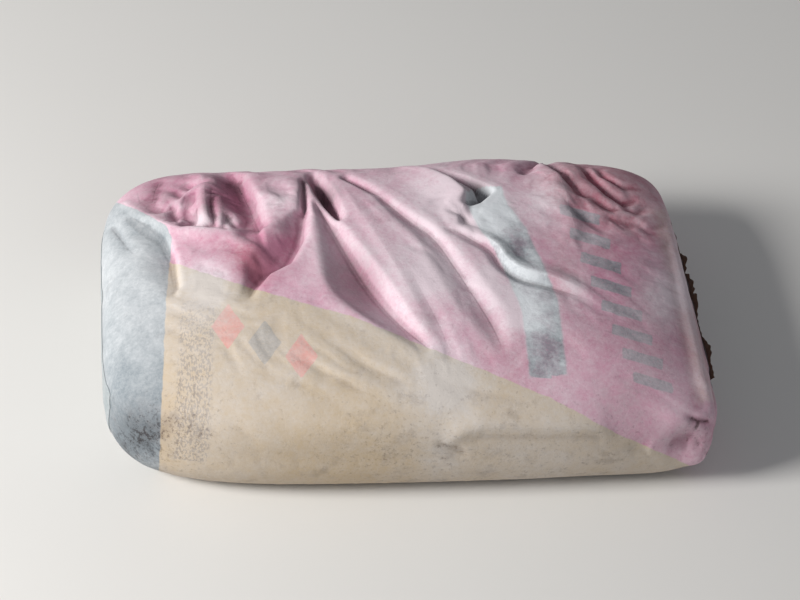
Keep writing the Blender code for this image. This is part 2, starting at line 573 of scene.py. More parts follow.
# The deep pinch at the far edge and the long valleys that run out of it
PINCH_CREASES = crease_table(
    (((542, 412), (542.5, 428), (539.5, 444), (532, 457), (520, 463.5), (514, 472), (511, 480)),
     (-9, -12, -20, -20, -15, -9, -2), (4, 6, 34, 46, 26, 14, 10), (5, 7, 10, 11, 10, 9, 8), 1.2,
     45),
    (((508, 446), (516, 441.5), (528, 441), (538, 438)), (1, 4, 4, 2), (12, 16, 16, 12),
     (16, 24, 24, 14), 1.5),
    (((549, 411), (554, 418), (559, 426), (563, 434)), (-20, -30, -27, -7), (11, 14, 11, 6),
     (8, 9, 7, 5), 1.0, 35),
    (((549, 425), (557, 436), (568, 451), (579, 466), (591, 482.5), (602, 497), (616, 511)),
     (-4, -9, -19, -25, -19, -10, 0), (6, 17, 37, 49, 37, 20, 10), (6, 9, 12, 14, 14, 12, 10),
     1.05, 0, True),
    (((548, 430), (552, 446), (554, 462), (556, 478)), (1, 2, 2, 0.5), (12, 18, 20, 16),
     (12, 16, 16, 12), 1.6, 0, True),
    (((556, 480), (570, 489), (588, 498)), (0.5, 2, 0), (16, 18, 12), (12, 14, 10), 1.6),
    (((568, 424), (585, 446), (603, 476), (616, 500)), (1.5, 2, 2, 0), (10, 12, 12, 10),
     (24, 30, 28, 14), 1.4, 0, True),
    (((603, 463), (610, 477), (619, 492), (627, 513)), (0, -1.5, -2.6, -1.2), (12, 18, 20, 12),
     (9, 10, 11, 10), 1.3, 0, True),
    (((588, 423), (600, 432), (617, 442.5), (629, 460), (643, 481), (652, 497), (657, 511)),
     (-4, -7, -8, -7, -7.5, -5, 0), (9, 15, 20, 25, 27, 20, 10), (7, 8, 9, 13, 18, 16, 10), 1.15,
     0, True),
    (((566, 411), (577, 416), (590, 424)), (-8, -7, -1), (6, 7, 7), (8, 8, 7), 1.2, 30),
)

# The second notch of the far edge, the bulge beside it and the sharp crease
NOTCH_CREASES = crease_table(
    (((620, 408), (634, 412), (646, 418), (640, 422.5), (634, 426)), (-7, -14, -26, -21, -5),
     (7, 8, 9, 9, 7), (6, 7, 9, 10, 8), 1.0, 25),
    (((612, 408), (626, 415), (635, 422), (633, 430)), (6, 9, 9, 4), (36, 40, 36, 24), 8, 1.2),
    (((627, 431), (633, 433), (638, 438)), (-3, -5, -2), 6, 7),
    (((687, 410), (693, 426), (698, 444)), (4, 5, 2), (48, 50, 40), (16, 18, 14), 1.3),
    (((629, 438), (641, 444), (652, 449), (659, 460), (669, 466), (685, 469), (708, 478)),
     (1, 2.5, 4.5, 5, 5, 4.5, 0), 4, (9, 11, 14, 18, 24, 22, 10), 1.2, 0, True),
    (((629, 441), (640, 447), (651, 452), (656, 462), (667, 469), (684, 473), (708, 482)),
     (-2, -4, -6, -7, -6, -5, 0), (9, 10, 10, 10, 10, 9, 8), 4, 1.0, 0, True),
)

# The crumpled far left corner and the grey end below it
LEFT_CREASES = crease_table(
    (((504, 411), (511, 424), (516, 438)), (-14, -20, -13), (26, 34, 32), (10, 12, 12), 1.0),
    (((483, 411), (486, 424), (488, 434)), (3, 6, 3), (10, 12, 10), (8, 10, 8), 1.2),
    (((459, 414), (456, 423), (455, 433)), (-6, -8, -2), (7, 8, 7), (8, 9, 8), 1.1),
    (((472, 415), (478, 417), (485, 415)), (-4, -7, -3), 6, 6, 1.1),
    (((481, 429), (478, 436), (474, 441)), (-4, -6, -2), (6, 7, 6), (6, 7, 6), 1.1),
    (((489, 420), (489, 428), (491, 437)), (-4, -8, -4), 6, (7, 8, 7), 1.1),
    (((464, 424), (468, 431), (470, 438)), (-2, -5, -2), 6, 6, 1.2),
    (((447, 420), (449, 426), (447, 431)), (-2, -4, -1), (5, 6, 5), (5, 6, 5), 1.2),
    (((496, 431), (501, 434), (504, 440)), (-3, -5, -1), 6, 6, 1.2),
    (((440, 427), (455, 436), (468, 442), (488, 443), (501, 442.5), (510, 440)),
     (4, 6, 6, 5, 4, 1), (7, 7, 12, 18, 16, 12), (7, 8, 8, 8, 8, 6), 1.2),
    (((440, 432), (452, 439), (462, 446), (467, 452)), (-2, -4, -4, -1), (12, 18, 16, 9), 6, 1.2),
    (((459, 444), (466, 456), (469, 474)), (-6, -13, -5), (26, 36, 18), (5, 6, 6), 1.1),
    (((432, 441), (436, 446), (441, 452), (448, 458)), (-4, -5, -4, 0), 6, 6, 1.1),
)

# The crumple of sharp, narrow folds at the far right corner
CORNER_CREASES = crease_table(
    (((680, 401), (668, 408)), (-8, -7), 8, 9, 1.3, 25),
    (((680, 401), (688, 409), (702, 422)), (-8, -11, -3), (7, 7, 6), (7, 7, 6), 1.1, 25),
    (((698, 403), (705, 409), (711, 415), (716, 420), (725, 425), (735, 424.5)),
     (-4, -8, -10, -11, -9, -2), (6, 6, 7, 7, 7, 6), (6, 6, 7, 7, 7, 6), 1.1, 25),
    (((706, 404), (714, 411), (724, 417), (738, 420)), (-3, -6, -6, -2), 6, 6),
    (((710, 425), (717, 429), (724, 430)), (-4, -6, -2), 6, 6, 1.2),
    (((727, 430), (734, 431), (740, 427)), (-3, -6, -2), 6, 6, 1.2),
    (((718, 434), (728, 438), (738, 438)), (-2, -4, -1), 8, 9, 1.4),
    (((690, 425), (700, 433), (713, 441)), (-1, -4, -1), 10, 10, 1.5),
    (((747, 428), (753, 446), (759, 470), (766, 502), (771, 530), (775, 552)), (2, 5, 6, 6, 6, 3),
     (9, 10, 10, 10, 10, 9), (9, 10, 10, 10, 10, 9), 1.1),
)

# The soft wrinkles of the kraft face and the edge of its lower front
FRONT_CREASES = crease_table(
    (((543, 515), (554, 523.5), (570, 532), (592, 541)), (-0.6, -1.9, -2.0, -0.3),
     (12, 13, 13, 12), (9, 10, 10, 9), 1.5),
    (((522, 524), (541, 531), (557, 538.5), (574, 544)), (-0.5, -1.5, -1.6, -0.3), 12,
     (9, 10, 10, 9), 1.5),
    (((572, 516), (596, 528), (616, 532)), (-0.4, -1.7, -0.4), (12, 13, 12), (9, 10, 9), 1.5),
    (((540, 551), (573, 556), (594, 558)), (0.5, 1.8, 0.5), 14, 9, 1.5),
    (((497, 549), (506, 558), (516, 566)), (-0.5, -1.8, -0.5), 10, 9, 1.5),
    (((560, 507), (578, 519), (600, 533)), (-0.2, -0.9, -0.2), 11, 8, 1.5),
    (((505, 530), (520, 540), (540, 551)), (-0.2, -0.9, -0.2), 11, 8, 1.5),
    (((556, 520), (572, 527), (596, 535)), (0.5, 1.6, 0.5), 8, 7, 1.5),
    (((618, 527), (640, 534), (668, 541)), (-0.5, -1.6, -0.5), 13, 9, 1.5),
    (((488, 497), (500, 512), (508, 528)), (-0.2, -0.7, -0.2), 10, 8, 1.5),
    (((624, 566), (634, 559), (645, 555.5), (680, 555.8), (711, 556.5), (722, 561)),
     (1, 4, 5, 5, 4, 0), (8, 9, 10, 10, 10, 9), (18, 26, 30, 30, 26, 16), 1.5),
    (((621, 566), (633, 570.5)), (-3, -3), 8, 5),
    (((764, 551), (773, 553)), (-5, -5), 6, 6),
    (((772, 550), (771, 562), (767, 572)), (2, 7, 8), (16, 22, 22), (16, 22, 22), 1.3),
)


@dataclass(frozen=True)
class RandomCreases:
    """Short creases that lie every which way, each bent near its middle.

    Attributes:
        count: Number of creases.
        depth: Least and greatest depth in mm.
        span: Least and greatest length.
        lean: Main direction in radians from the horizontal.
        spread: How far the directions stray from it, in radians.
        seed: Seed of the draws.
    """

    count: int
    depth: Pair
    span: Pair
    lean: float
    spread: float
    seed: int

    BEND = 0.25
    REACH = (5.0, 8.0)
    POWER = 1.25
    ENDS = (0.3, 0.2)

    def creases(self) -> list[Crease]:
        """Draw the creases.

        Returns:
            The creases, whose ends have a share of the middle's depth.
        """
        random = np.random.default_rng(self.seed)
        found = []
        for _ in range(self.count):
            path = tuple(map(tuple, self._path(random)))
            depth = -random.uniform(*self.depth)
            reach = random.uniform(*self.REACH)
            lift = (self.ENDS[0] * depth, depth, self.ENDS[1] * depth)
            found.append(Crease(path, lift, reach, reach, self.POWER))
        return found


@dataclass(frozen=True)
class CrumplePatch(RandomCreases):
    """Random creases on a patch that the photograph shows, in its pixels.

    Attributes:
        middle: The patch's middle.
        reach: Half its width and half its height.
    """

    middle: Pixel
    reach: Pixel

    FORESHORTENING = 0.75

    def _path(self, random: np.random.Generator) -> tuple[Array, ...]:
        """Draw one crease's start, middle and end.

        Args:
            random: Source of the draws.

        Returns:
            The three pixels.
        """
        angle, away = random.uniform(0, 2 * math.pi), math.sqrt(random.uniform(0, 1))
        x = self.middle[0] + self.reach[0] * away * math.cos(angle)
        y = self.middle[1] + self.reach[1] * away * math.sin(angle)
        turn = self.lean + random.uniform(-1, 1) * self.spread
        half = random.uniform(*self.span) / 2
        bend = random.uniform(-self.BEND, self.BEND) * half
        step = np.array([math.cos(turn), self.FORESHORTENING * math.sin(turn)]) * half
        side = np.array([-step[1], step[0]]) / half * bend
        middle = np.array([x, y])
        return middle - step, middle + side, middle + step


CRUMPLED = (
    CrumplePatch(15, (1.5, 4.0), (8, 18), 1.3, 1.1, 11, (464, 424), (22, 12)),
    CrumplePatch(7, (2.0, 4.0), (6, 12), 1.4, 0.9, 22, (494, 436), (18, 6)),
    CrumplePatch(6, (1.0, 2.5), (6, 12), 0.65, 0.8, 12, (706, 414), (30, 9)),
    CrumplePatch(4, (1.0, 2.5), (6, 10), 1.2, 0.8, 13, (551, 416), (9, 5)),
    CrumplePatch(8, (1.0, 2.5), (5, 10), 0.8, 1.4, 14, (634, 436), (14, 9)),
    CrumplePatch(7, (1.5, 3.5), (6, 12), 0.3, 1.2, 15, (770, 556), (8, 14)),
    CrumplePatch(34, (0.15, 0.5), (12, 32), 0.5, 0.4, 16, (555, 535), (88, 32)),
    CrumplePatch(10, (0.2, 0.5), (14, 40), 0.2, 0.5, 17, (680, 560), (80, 20)),
    CrumplePatch(26, (0.3, 1.0), (10, 30), 0.95, 0.5, 18, (632, 465), (40, 42)),
    CrumplePatch(14, (0.2, 0.8), (10, 30), 0.9, 0.7, 19, (715, 480), (28, 55)),
    CrumplePatch(14, (0.3, 1.0), (10, 26), -0.9, 0.5, 20, (445, 500), (18, 55)),
    CrumplePatch(8, (0.4, 1.2), (8, 20), 0.6, 0.8, 21, (496, 460), (26, 12)),
)


@dataclass(frozen=True)
class SideWrinkles(RandomCreases):
    """Random creases on a side that the photograph doesn't show, in metres.

    Attributes:
        low: Lowest corner of the box that holds their middles.
        high: Highest corner of that box.
        facing: Outward direction of the side.
    """

    low: tuple
    high: tuple
    facing: tuple

    BEND = 0.2
    REACH = (6.0, 14.0)
    POWER = 1.3
    ENDS = (0.2, 0.2)

    def _path(self, random: np.random.Generator) -> tuple[Array, ...]:
        """Draw one crease's start, middle and end, in the side's plane.

        Args:
            random: Source of the draws.

        Returns:
            The three points.
        """
        outward = np.array(self.facing)
        level = np.cross([0.0, 0.0, 1.0], outward)
        middle = random.uniform(self.low, self.high)
        turn = self.lean * random.choice([-1, 1]) + random.uniform(-1, 1) * self.spread
        half = random.uniform(*self.span) / 2
        step = (level * math.cos(turn) + np.array([0, 0, 1.0]) * math.sin(turn)) * half
        side = np.cross(outward, step) * random.uniform(-self.BEND, self.BEND)
        return middle - step, middle + side, middle + step


WRINKLED = (
    SideWrinkles(44, (0.8, 3.0), (0.02, 0.08), 1.0, 0.5, 31,
                 (-0.27, 0.195, 0.03), (0.28, 0.205, 0.11), (0, 1, 0)),
    SideWrinkles(26, (0.6, 2.4), (0.02, 0.06), 0.9, 0.6, 32,
                 (0.31, -0.18, 0.02), (0.31, 0.18, 0.09), (1, 0, 0)),
    SideWrinkles(22, (0.6, 2.2), (0.02, 0.06), 0.9, 0.6, 33,
                 (-0.31, -0.16, 0.02), (-0.31, 0.17, 0.10), (-1, 0, 0)),
    SideWrinkles(9, (0.15, 0.5), (0.02, 0.07), 0.7, 0.5, 34,
                 (-0.26, -0.212, 0.02), (0.28, -0.212, 0.05), (0, -1, 0)),
)


@dataclass(frozen=True)
class EndFolds:
    """The folds of the tucked-in ends, from the covers' corners outwards.

    Attributes:
        start: Distance of a fold's start from the middle, along X and Y.
        finish: Distance of its finish, along X and Y.
        heights: Height of the start and of the finish, low and high folds.
        lift: Depth at the start and at the finish, in mm.
        reach: Half its width in mm.
    """

    start: Pair = (0.312, 0.125)
    finish: Pair = (0.306, 0.196)
    heights: tuple[Pair, ...] = ((0.026, 0.012), (0.084, 0.096))
    lift: Pair = (-3.6, -2.0)
    reach: float = 9.0

    def creases(self) -> list[Crease]:
        """Lay two folds out of each side of both ends.

        Returns:
            The creases.
        """
        found = []
        for end in End:
            for side in (-1, 1):
                for low, high in self.heights:
                    start = (end.value * self.start[0], side * self.start[1], low)
                    finish = (end.value * self.finish[0], side * self.finish[1], high)
                    found.append(Crease((start, finish), self.lift, self.reach, self.reach, 1.0))
        return found


CREASES = (
    PINCH_CREASES
    + NOTCH_CREASES
    + LEFT_CREASES
    + CORNER_CREASES
    + FRONT_CREASES
    + tuple(crease for group in (*CRUMPLED, *WRINKLED, EndFolds()) for crease in group.creases())
)


def path_distance(points: Array, normal: Array, path: Array) -> tuple[Array, Array]:
    """Signed distance of points to an open path, and the share along it.

    The distance is the least of those to the path's straight stretches.  Its
    sign is that of the point's side, positive to the left of the direction.

    Args:
        points: Points on the surface, one a row.
        normal: The surface's outward normals there.
        path: The path's points.

    Returns:
        The signed distances, and each nearest place's share of the path.
    """
    strides = np.diff(path, axis=0)
    spans = lengths(strides)
    run = np.concatenate([[0.0], np.cumsum(spans)]) / spans.sum()
    best = np.full(len(points), np.inf)
    side = np.ones(len(points))
    share = np.zeros(len(points))
    for number, (start, stride, span) in enumerate(zip(path, strides, spans)):
        t = np.clip((points - start) @ stride / span**2, 0, 1)
        away = points - (start + t[:, None] * stride)
        distance = lengths(away)
        nearer = distance < best
        turn = np.einsum("ij,ij->i", np.cross(normal, stride[None]), away)
        best = np.where(nearer, distance, best)
        side = np.where(nearer, np.where(turn < 0, -1.0, 1.0), side)
        here = run[number] + t * (run[number + 1] - run[number])
        share = np.where(nearer, here, share)
    return best * side, share


@dataclass
class FoldedGround:
    """What the creases make of the charge and the paper.

    Attributes:
        height: Height that they give each vertex.
        guide: How strongly a crease guides the paper there.
        direction: The nearest crease's direction.
        lines: Signed distance to the nearest valley and ridge line.
        marks: How sharp that line is.
    """

    height: Array
    guide: Array
    direction: Array
    lines: dict[str, Array]
    marks: dict[str, Array]


class CreaseField:
    """The height and the direction that the creases give the paper.

    Attributes:
        REACH: No crease has an effect beyond this distance, in metres.
        GUIDE: Distance over which a crease leads the slack paper's folds.
        FULL_GUIDE: Lift in mm from which it leads them fully.
        CELLS_A_PASS: Cells along the sack for each pass of the smoothing.
        FULL_MARK: Lift in mm from which its line is fully marked.
        LINE_REACH: Greatest distance of the mark to the line.
    """

    REACH = 0.06
    GUIDE = 0.034
    FULL_GUIDE = 4.0
    CELLS_A_PASS = 140
    FULL_MARK = 5.0
    LINE_REACH = 0.004

    def __init__(self, photo: PhotoMap, creases: Sequence[Crease]) -> None:
        """Carry every crease's path onto the sack once."""
        self.creases = [crease.on_sack(photo) for crease in creases]

    def evaluate(self, grid: SkinGrid) -> FoldedGround:
        """Work out the creases on a grid.

        Each crease's height is its lift times (1 - distance / reach) to its
        power, with lift and reaches blended along its path.  The sum of all
        is smoothed a little.  A crease's mark grows with the lift, and is
        nothing past the path's ends.

        Args:
            grid: The grid of the sack.

        Returns:
            The creases' effect on each vertex.
        """
        size = len(grid.base)
        height, guide = np.zeros(size), np.zeros(size)
        direction = np.zeros_like(grid.base)
        lines = {kind: np.full(size, self.REACH) for kind in ("valley", "ridge")}
        marks = {kind: np.zeros(size) for kind in lines}
        for path, crease in self.creases:
            low, high = path.min(0) - self.REACH, path.max(0) + self.REACH
            near = np.nonzero(((grid.base > low) & (grid.base < high)).all(1))[0]
            away, share = path_distance(grid.base[near], grid.normal[near], path)
            strides = np.diff(path, axis=0)
            spans = lengths(strides)
            run = np.concatenate([[0.0], np.cumsum(spans)]) / spans.sum()
            left = np.interp(share, run, crease.left) * MM
            right = np.interp(share, run, crease.right) * MM
            lift = np.interp(share, run, crease.lift)
            flank = 1 - np.abs(away) / np.where(away < 0, left, right)
            height[near] += lift * MM * np.clip(flank, 0, 1) ** crease.power
            strength = np.clip(1 - np.abs(away) / self.GUIDE, 0, 1)
            strength *= np.clip(np.abs(crease.lift).max() / self.FULL_GUIDE, 0, 1)
            part = np.clip(np.searchsorted(run, share, "right") - 1, 0, len(spans) - 1)
            stronger = strength > guide[near]
            guide[near[stronger]] = strength[stronger]
            unit = strides / spans[:, None]
            direction[near[stronger]] = unit[part[stronger]]
            kind = "ridge" if max(crease.lift) > 0 else "valley"
            closer = np.abs(away) < np.abs(lines[kind][near])
            pick, away, share = near[closer], away[closer], share[closer]
            lines[kind][pick] = away
            mark = np.clip(np.abs(lift[closer]) / self.FULL_MARK, 0, 1)
            mark *= np.clip(2 - 2 * np.abs(away) / self.LINE_REACH, 0, 1)
            marks[kind][pick] = mark * ((share > 0) & (share < 1)) / crease.power**3
        passes = round(grid.counts[0] / self.CELLS_A_PASS)
        return FoldedGround(grid.fitted(height, passes), guide, direction, lines, marks)


# Slack paper


@dataclass(frozen=True)
class Spot:
    """A soft round spot on the paper.

    Attributes:
        pixel: The middle, in pixels of the photograph.
        reach: Distance over which it fades out, in metres for a spot of
            slack and in pixels for one of colour.
        amount: Its strength; for slack the extra length, as a share.
    """

    pixel: Pixel
    reach: float
    amount: float


def spot_table(*rows: tuple[float, float, float, float]) -> tuple[Spot, ...]:
    """Make spots from rows of pixel, reach and amount."""
    return tuple(Spot((x, y), reach, amount) for x, y, reach, amount in rows)


CRUMPLES = spot_table(
    (475, 428, 0.045, 0.030), (495, 425, 0.040, 0.030), (535, 420, 0.030, 0.020),
    (715, 418, 0.050, 0.018), (690, 410, 0.030, 0.020), (440, 570, 0.040, 0.020),
    (765, 560, 0.035, 0.030), (690, 562, 0.090, -0.0022), (640, 540, 0.080, -0.0018),
)


@dataclass(frozen=True)
class PaperTemper:
    """How the paper bends and how it is held by its charge.

    Attributes:
        even_slack: Extra length of the paper everywhere, as a share.
        slack_scale: Factor on all the slack above and on the crumples.
        cross_slack: Extra length across the creases, as a share.
        shear: Stiffness of the cells' diagonals.
        bend: Stiffness against folding.
        bend_after_yield: What is left of it once a fold has creased.
        yield_share: A chord this much shorter than the paper has creased.
        sink: How far the paper may sink into the charge.
        stand: How far it may stand off the charge.
        pull: Share of the standing height lost in each pass.
        hold: Share of the sideways slip lost in each pass.
        momentum: Share of the last move that is carried on.
        flutter: Height of the first unevenness that the folds grow from.
    """

    even_slack: float = 0.0008
    slack_scale: float = 2.2
    cross_slack: float = 0.0055
    shear: float = 0.5
    bend: float = 1.0
    bend_after_yield: float = 0.02
    yield_share: float = 0.985
    sink: float = 0.006
    stand: float = 0.007
    pull: float = 0.002
    hold: float = 0.003
    momentum: float = 0.6
    flutter: float = 0.0012


@dataclass
class PaperLinks:
    """Links of fixed length between vertices, none sharing one in a batch.

    Attributes:
        first: Vertex numbers at one end.
        second: Vertex numbers at the other end.
        length: Length of the paper between them.
        stiffness: Share of the error mended in a pass.
        bends: Whether the links only resist folding.
    """

    first: Array
    second: Array
    length: Array
    stiffness: float
    bends: bool


@dataclass
class SlackPaper:
    """Relaxes the paper on one grid until its slack lies in folds.

    Attributes:
        grid: The grid of the sack.
        core: The charge's surface, creases included.
        slack: Extra length of the paper at each vertex, as a share.
        cross: Extra length across the creases' direction.
        direction: Unit direction of the creases.
        temper: How the paper bends.
        spans: Numbers of cells over which it resists folding.
    """

    grid: SkinGrid
    core: Array
    slack: Array
    cross: Array
    direction: Array
    temper: PaperTemper
    spans: Sequence[int]

    MEND = 0.5

    def __post_init__(self) -> None:
        """Cut the paper to its lengths."""
        self.core = self.core.astype(np.float32)
        self.links = self._along_rings(1, self.MEND, False) + self._diagonals()
        for span in self.spans:
            self.links += self._along_rings(span, self.MEND * self.temper.bend, True)

    def _link(self, a: Array, b: Array, stiffness: float, bends: bool) -> PaperLinks:
        """Make one batch, longer than the core by the slack between its ends.

        Args:
            a: Vertex numbers at one end.
            b: Vertex numbers at the other end.
            stiffness: Share of the error mended in a pass.
            bends: Whether the links only resist folding.

        Returns:
            The batch.
        """
        a, b = a.ravel(), b.ravel()
        chord = self.core[a] - self.core[b]
        length = lengths(chord)
        middle = 0.5 * (self.direction[a] + self.direction[b])
        parallel = np.abs(np.einsum("ij,ij->i", chord, middle)) / (length + 1e-9)
        share = 0.5 * (self.slack[a] + self.slack[b])
        share += 0.5 * (self.cross[a] + self.cross[b]) * np.clip(1 - parallel**2, 0, 1)
        return PaperLinks(a, b, (length * (1 + share)).astype(np.float32), stiffness, bends)

    def _along_rings(self, span: int, stiffness: float, bends: bool) -> list[PaperLinks]:
        """Link the vertices of the rings along each axis.

        Args:
            span: How many cells a link spans.
            stiffness: Share of the error mended in a pass.
            bends: Whether the links only resist folding.

        Returns:
            The batches.
        """
        batches = []
        for rings in self.grid.rings:
            size = rings.shape[1]
            for start in (0, 1):
                here = np.arange(size)
                here = here[(here // span) % 2 == start]
                a, b = rings[:, here], rings[:, (here + span) % size]
                batches.append(self._link(a, b, stiffness, bends))
        return batches

    def _diagonals(self) -> list[PaperLinks]:
        """Link the vertices across the cells, both ways.

        Returns:
            The batches.
        """
        batches = []
        for start in (0, 1):
            ahead: list[list[Array]] = [[], [], [], []]
            for patch in self.grid.patches:
                here = np.arange(start, patch.shape[0] - 1, 2)
                low, high = patch[here], patch[here + 1]
                corners = (low[:, :-1], high[:, 1:], low[:, 1:], high[:, :-1])
                for pile, corner in zip(ahead, corners):
                    pile.append(corner.ravel())
            a, b, c, d = (np.concatenate(pile) for pile in ahead)
            stiffness = self.MEND * self.temper.shear
            batches.append(self._link(a, b, stiffness, False))
            batches.append(self._link(c, d, stiffness, False))
        return batches

    def relax(self, points: Array, passes: int) -> Array:
        """Let the paper find its folds.

        Every pass carries the last move on, mends each batch of links in
        turn, and then holds the paper near its charge: the height off the
        charge is kept between the sink and the stand, and no point goes
        under the floor.  A folding link only pushes, and gives way once its
        chord is so short that the paper has creased.

        Args:
            points: Where the paper starts.
            passes: Number of passes.

        Returns:
            Where the paper comes to rest.
        """
        temper = self.temper
        normal = self.grid.normal.astype(np.float32)
        share = np.clip(0.35 + self.grid.upward, 0.3, 1).astype(np.float32)
        stand, sink = temper.stand * share, temper.sink * share
        x = points.astype(np.float32)
        last = x.copy()
        for _ in range(passes):
            x, last = x + temper.momentum * (x - last), x.copy()
            for batch in self.links:
                chord = x[batch.second] - x[batch.first]
                length = lengths(chord) + 1e-9
                share = batch.stiffness * (1 - batch.length / length)
                if batch.bends:
                    creased = length < temper.yield_share * batch.length
                    share = np.where(creased, share * temper.bend_after_yield, share)
                    share = np.minimum(share, 0.0)
                move = share.astype(np.float32)[:, None] * chord
                x[batch.first] += move
                x[batch.second] -= move
            offset = x - self.core
            height = np.einsum("ij,ij->i", offset, normal)
            slip = offset - height[:, None] * normal
            height = np.clip(height * (1 - temper.pull), -sink, stand)
            x = self.core + slip * (1 - temper.hold) + height[:, None] * normal
            x[:, 2] = np.maximum(x[:, 2], 0.0)
        return x.astype(float)


def flutter(points: Array, scale: float, seed: int) -> Array:
    """A smooth unevenness: a sum of sine waves in many directions.

    Args:
        points: Points in metres, one a row.
        scale: Length of the longest waves; two more octaves follow.
        seed: Seed of the draws.

    Returns:
        One number for each point, about as often under 0 as over it.
    """
    random = np.random.default_rng(seed)
    total, strength, power = np.zeros(len(points)), 1.0, 0.0
    for octave in range(3):
        for _ in range(6):
            way = random.normal(size=3)
            way *= 2 * math.pi / (np.linalg.norm(way) * scale * 0.5**octave)
            total += strength * np.sin(points @ way + random.uniform(0, 2 * math.pi))
            power += strength**2 / 2
        strength *= 0.6
    return total / math.sqrt(power)


# The print


@dataclass(frozen=True)
class PrintLayout:
    """The print's edges, in pixels of the photograph.

    The two-colour field and the bands are plain shapes.  The marks on them
    are small lozenges and a row of slanted bars.

    Attributes:
        pixel_size: Size of a pixel on the sack, in metres.
        far_off: Distance given to places that a mark doesn't reach.
        field_edge: Line between the upper ink and the bare kraft.
        band_edge: Outline of the left end's band, which is on its right hand.
        strips: Middle line and half width of the curved stripe, of the worn
            fine print and of the worn strip along the right edge.
        lozenges: Middles of the lozenges.
        lozenge_reach: Half length and half height of a lozenge.
        bars_middle: Middles of the first and the last bar.
        bar_count: Number of bars.
        bar_reach: Half length and half width of a bar.
        bar_slant: Fall of a bar over its length.
        tears: Middle lines of small tears.
        tear_half_width: Half the width of a tear.
    """

    pixel_size: float = 0.0017
    far_off: float = 0.05
    field_edge: tuple[Pixel, ...] = (
        (380, 434), (466, 461), (512, 476), (569, 492), (626, 515), (684, 539), (721, 559),
        (760, 576), (820, 604),
    )
    band_edge: tuple[Pixel, ...] = (
        (380, 410), (438, 428), (452, 434), (464, 441), (467, 447), (463.8, 482),
        (462.5, 507.5), (460, 571), (458, 620),
    )
    strips: tuple = (
        ("stripe_edge", ((645, 420), (646, 425), (650, 434), (660, 447), (668.5, 465),
                         (677, 485), (680, 505), (682, 526)), 10.5),
        ("note_edge", ((482, 484), (480, 530), (478, 574)), 10.0),
        ("worn_edge", ((747, 432), (753, 455), (760, 480), (766, 508), (772, 540)), 5.0),
    )
    lozenges: tuple[Pixel, ...] = ((499, 498), (520, 507), (541, 515))
    lozenge_reach: Pair = (9.5, 13.0)
    bars_middle: tuple[Pixel, Pixel] = ((700, 434), (742, 530))
    bar_count: int = 8
    bar_reach: Pair = (11.5, 3.0)
    bar_slant: float = 0.30
    tears: tuple = (
        ((764, 550), (768, 552.5), (774, 552.5)),
        ((766, 556), (769, 552)),
        ((772, 571), (777, 568), (780, 564)),
    )
    tear_half_width: float = 0.7

    def edges(self, pixels: Array, facing: Array) -> dict[str, Array]:
        """Signed distances to the print's edges, negative inside.

        Args:
            pixels: Each vertex's place in the photograph.
            facing: How far each vertex faces the photograph's camera.

        Returns:
            One distance in metres for each vertex, by attribute name.
        """
        hidden = self.far_off / self.pixel_size * np.clip(-4 * facing, 0, 1)
        tears = [self._strip(pixels, tear, self.tear_half_width) for tear in self.tears]
        bounded = {
            **{name: self._strip(pixels, path, half) for name, path, half in self.strips},
            "lozenge_edge": self._lozenges(pixels, self.lozenges[::2]),
            "lozenge_core": self._lozenges(pixels, self.lozenges[1::2]),
            "bar_edge": self._bars(pixels),
            "tear_edge": np.min(tears, axis=0),
        }
        distances = {
            "field_edge": self._beside(pixels, self.field_edge),
            "band_edge": -self._beside(pixels, self.band_edge),
            **{name: gap + hidden for name, gap in bounded.items()},
        }
        return {name: gap * self.pixel_size for name, gap in distances.items()}

    @staticmethod
    def _along(pixels: Array, path: Sequence[Pixel]) -> tuple[Array, Array]:
        """Measure pixels against a line in the picture.

        Args:
            pixels: Pixels, one a row.
            path: The line's points.

        Returns:
            The signed distances, and the shares along the line.
        """
        flat, line = (np.pad(np.array(p, float), ((0, 0), (0, 1))) for p in (pixels, path))
        return path_distance(flat, np.array([[0.0, 0.0, 1.0]]), line)

    def _beside(self, pixels: Array, path: Sequence[Pixel]) -> Array:
        """Signed distance to a line, positive on its right hand."""
        return self._along(pixels, path)[0]

    def _strip(self, pixels: Array, path: Sequence[Pixel], half_width: float) -> Array:
        """Distance to a strip: that to its middle less half its width.

        Args:
            pixels: Pixels, one a row.
            path: The points of its middle line, at whose ends it is cut square.
            half_width: Half its width in pixels.

        Returns:
            The signed distances, negative inside.
        """
        points = np.array(path, float)
        away, share = self._along(pixels, path)
        gap = np.abs(away) - half_width
        for place, inner, end in ((0.0, points[1], points[0]), (1.0, points[-2], points[-1])):
            unit = (end - inner) / np.linalg.norm(end - inner)
            past = (pixels - end) @ unit
            across = np.abs((pixels - end) @ np.array([-unit[1], unit[0]])) - half_width
            gap = np.where((share == place) & (past > 0), np.maximum(across, past), gap)
        return gap

    def _lozenges(self, pixels: Array, middles: Sequence[Pixel]) -> Array:
        """Distance to lozenges: |x| / a + |y| / b - 1, times a b / hypot(a, b).

        Args:
            pixels: Pixels, one a row.
            middles: The lozenges' middles.

        Returns:
            The signed distances to the nearest, negative inside.
        """
        a, b = self.lozenge_reach
        best = np.full(len(pixels), np.inf)
        for middle in middles:
            x, y = np.abs(pixels - np.array(middle)).T
            best = np.minimum(best, (x / a + y / b - 1) * a * b / math.hypot(a, b))
        return best

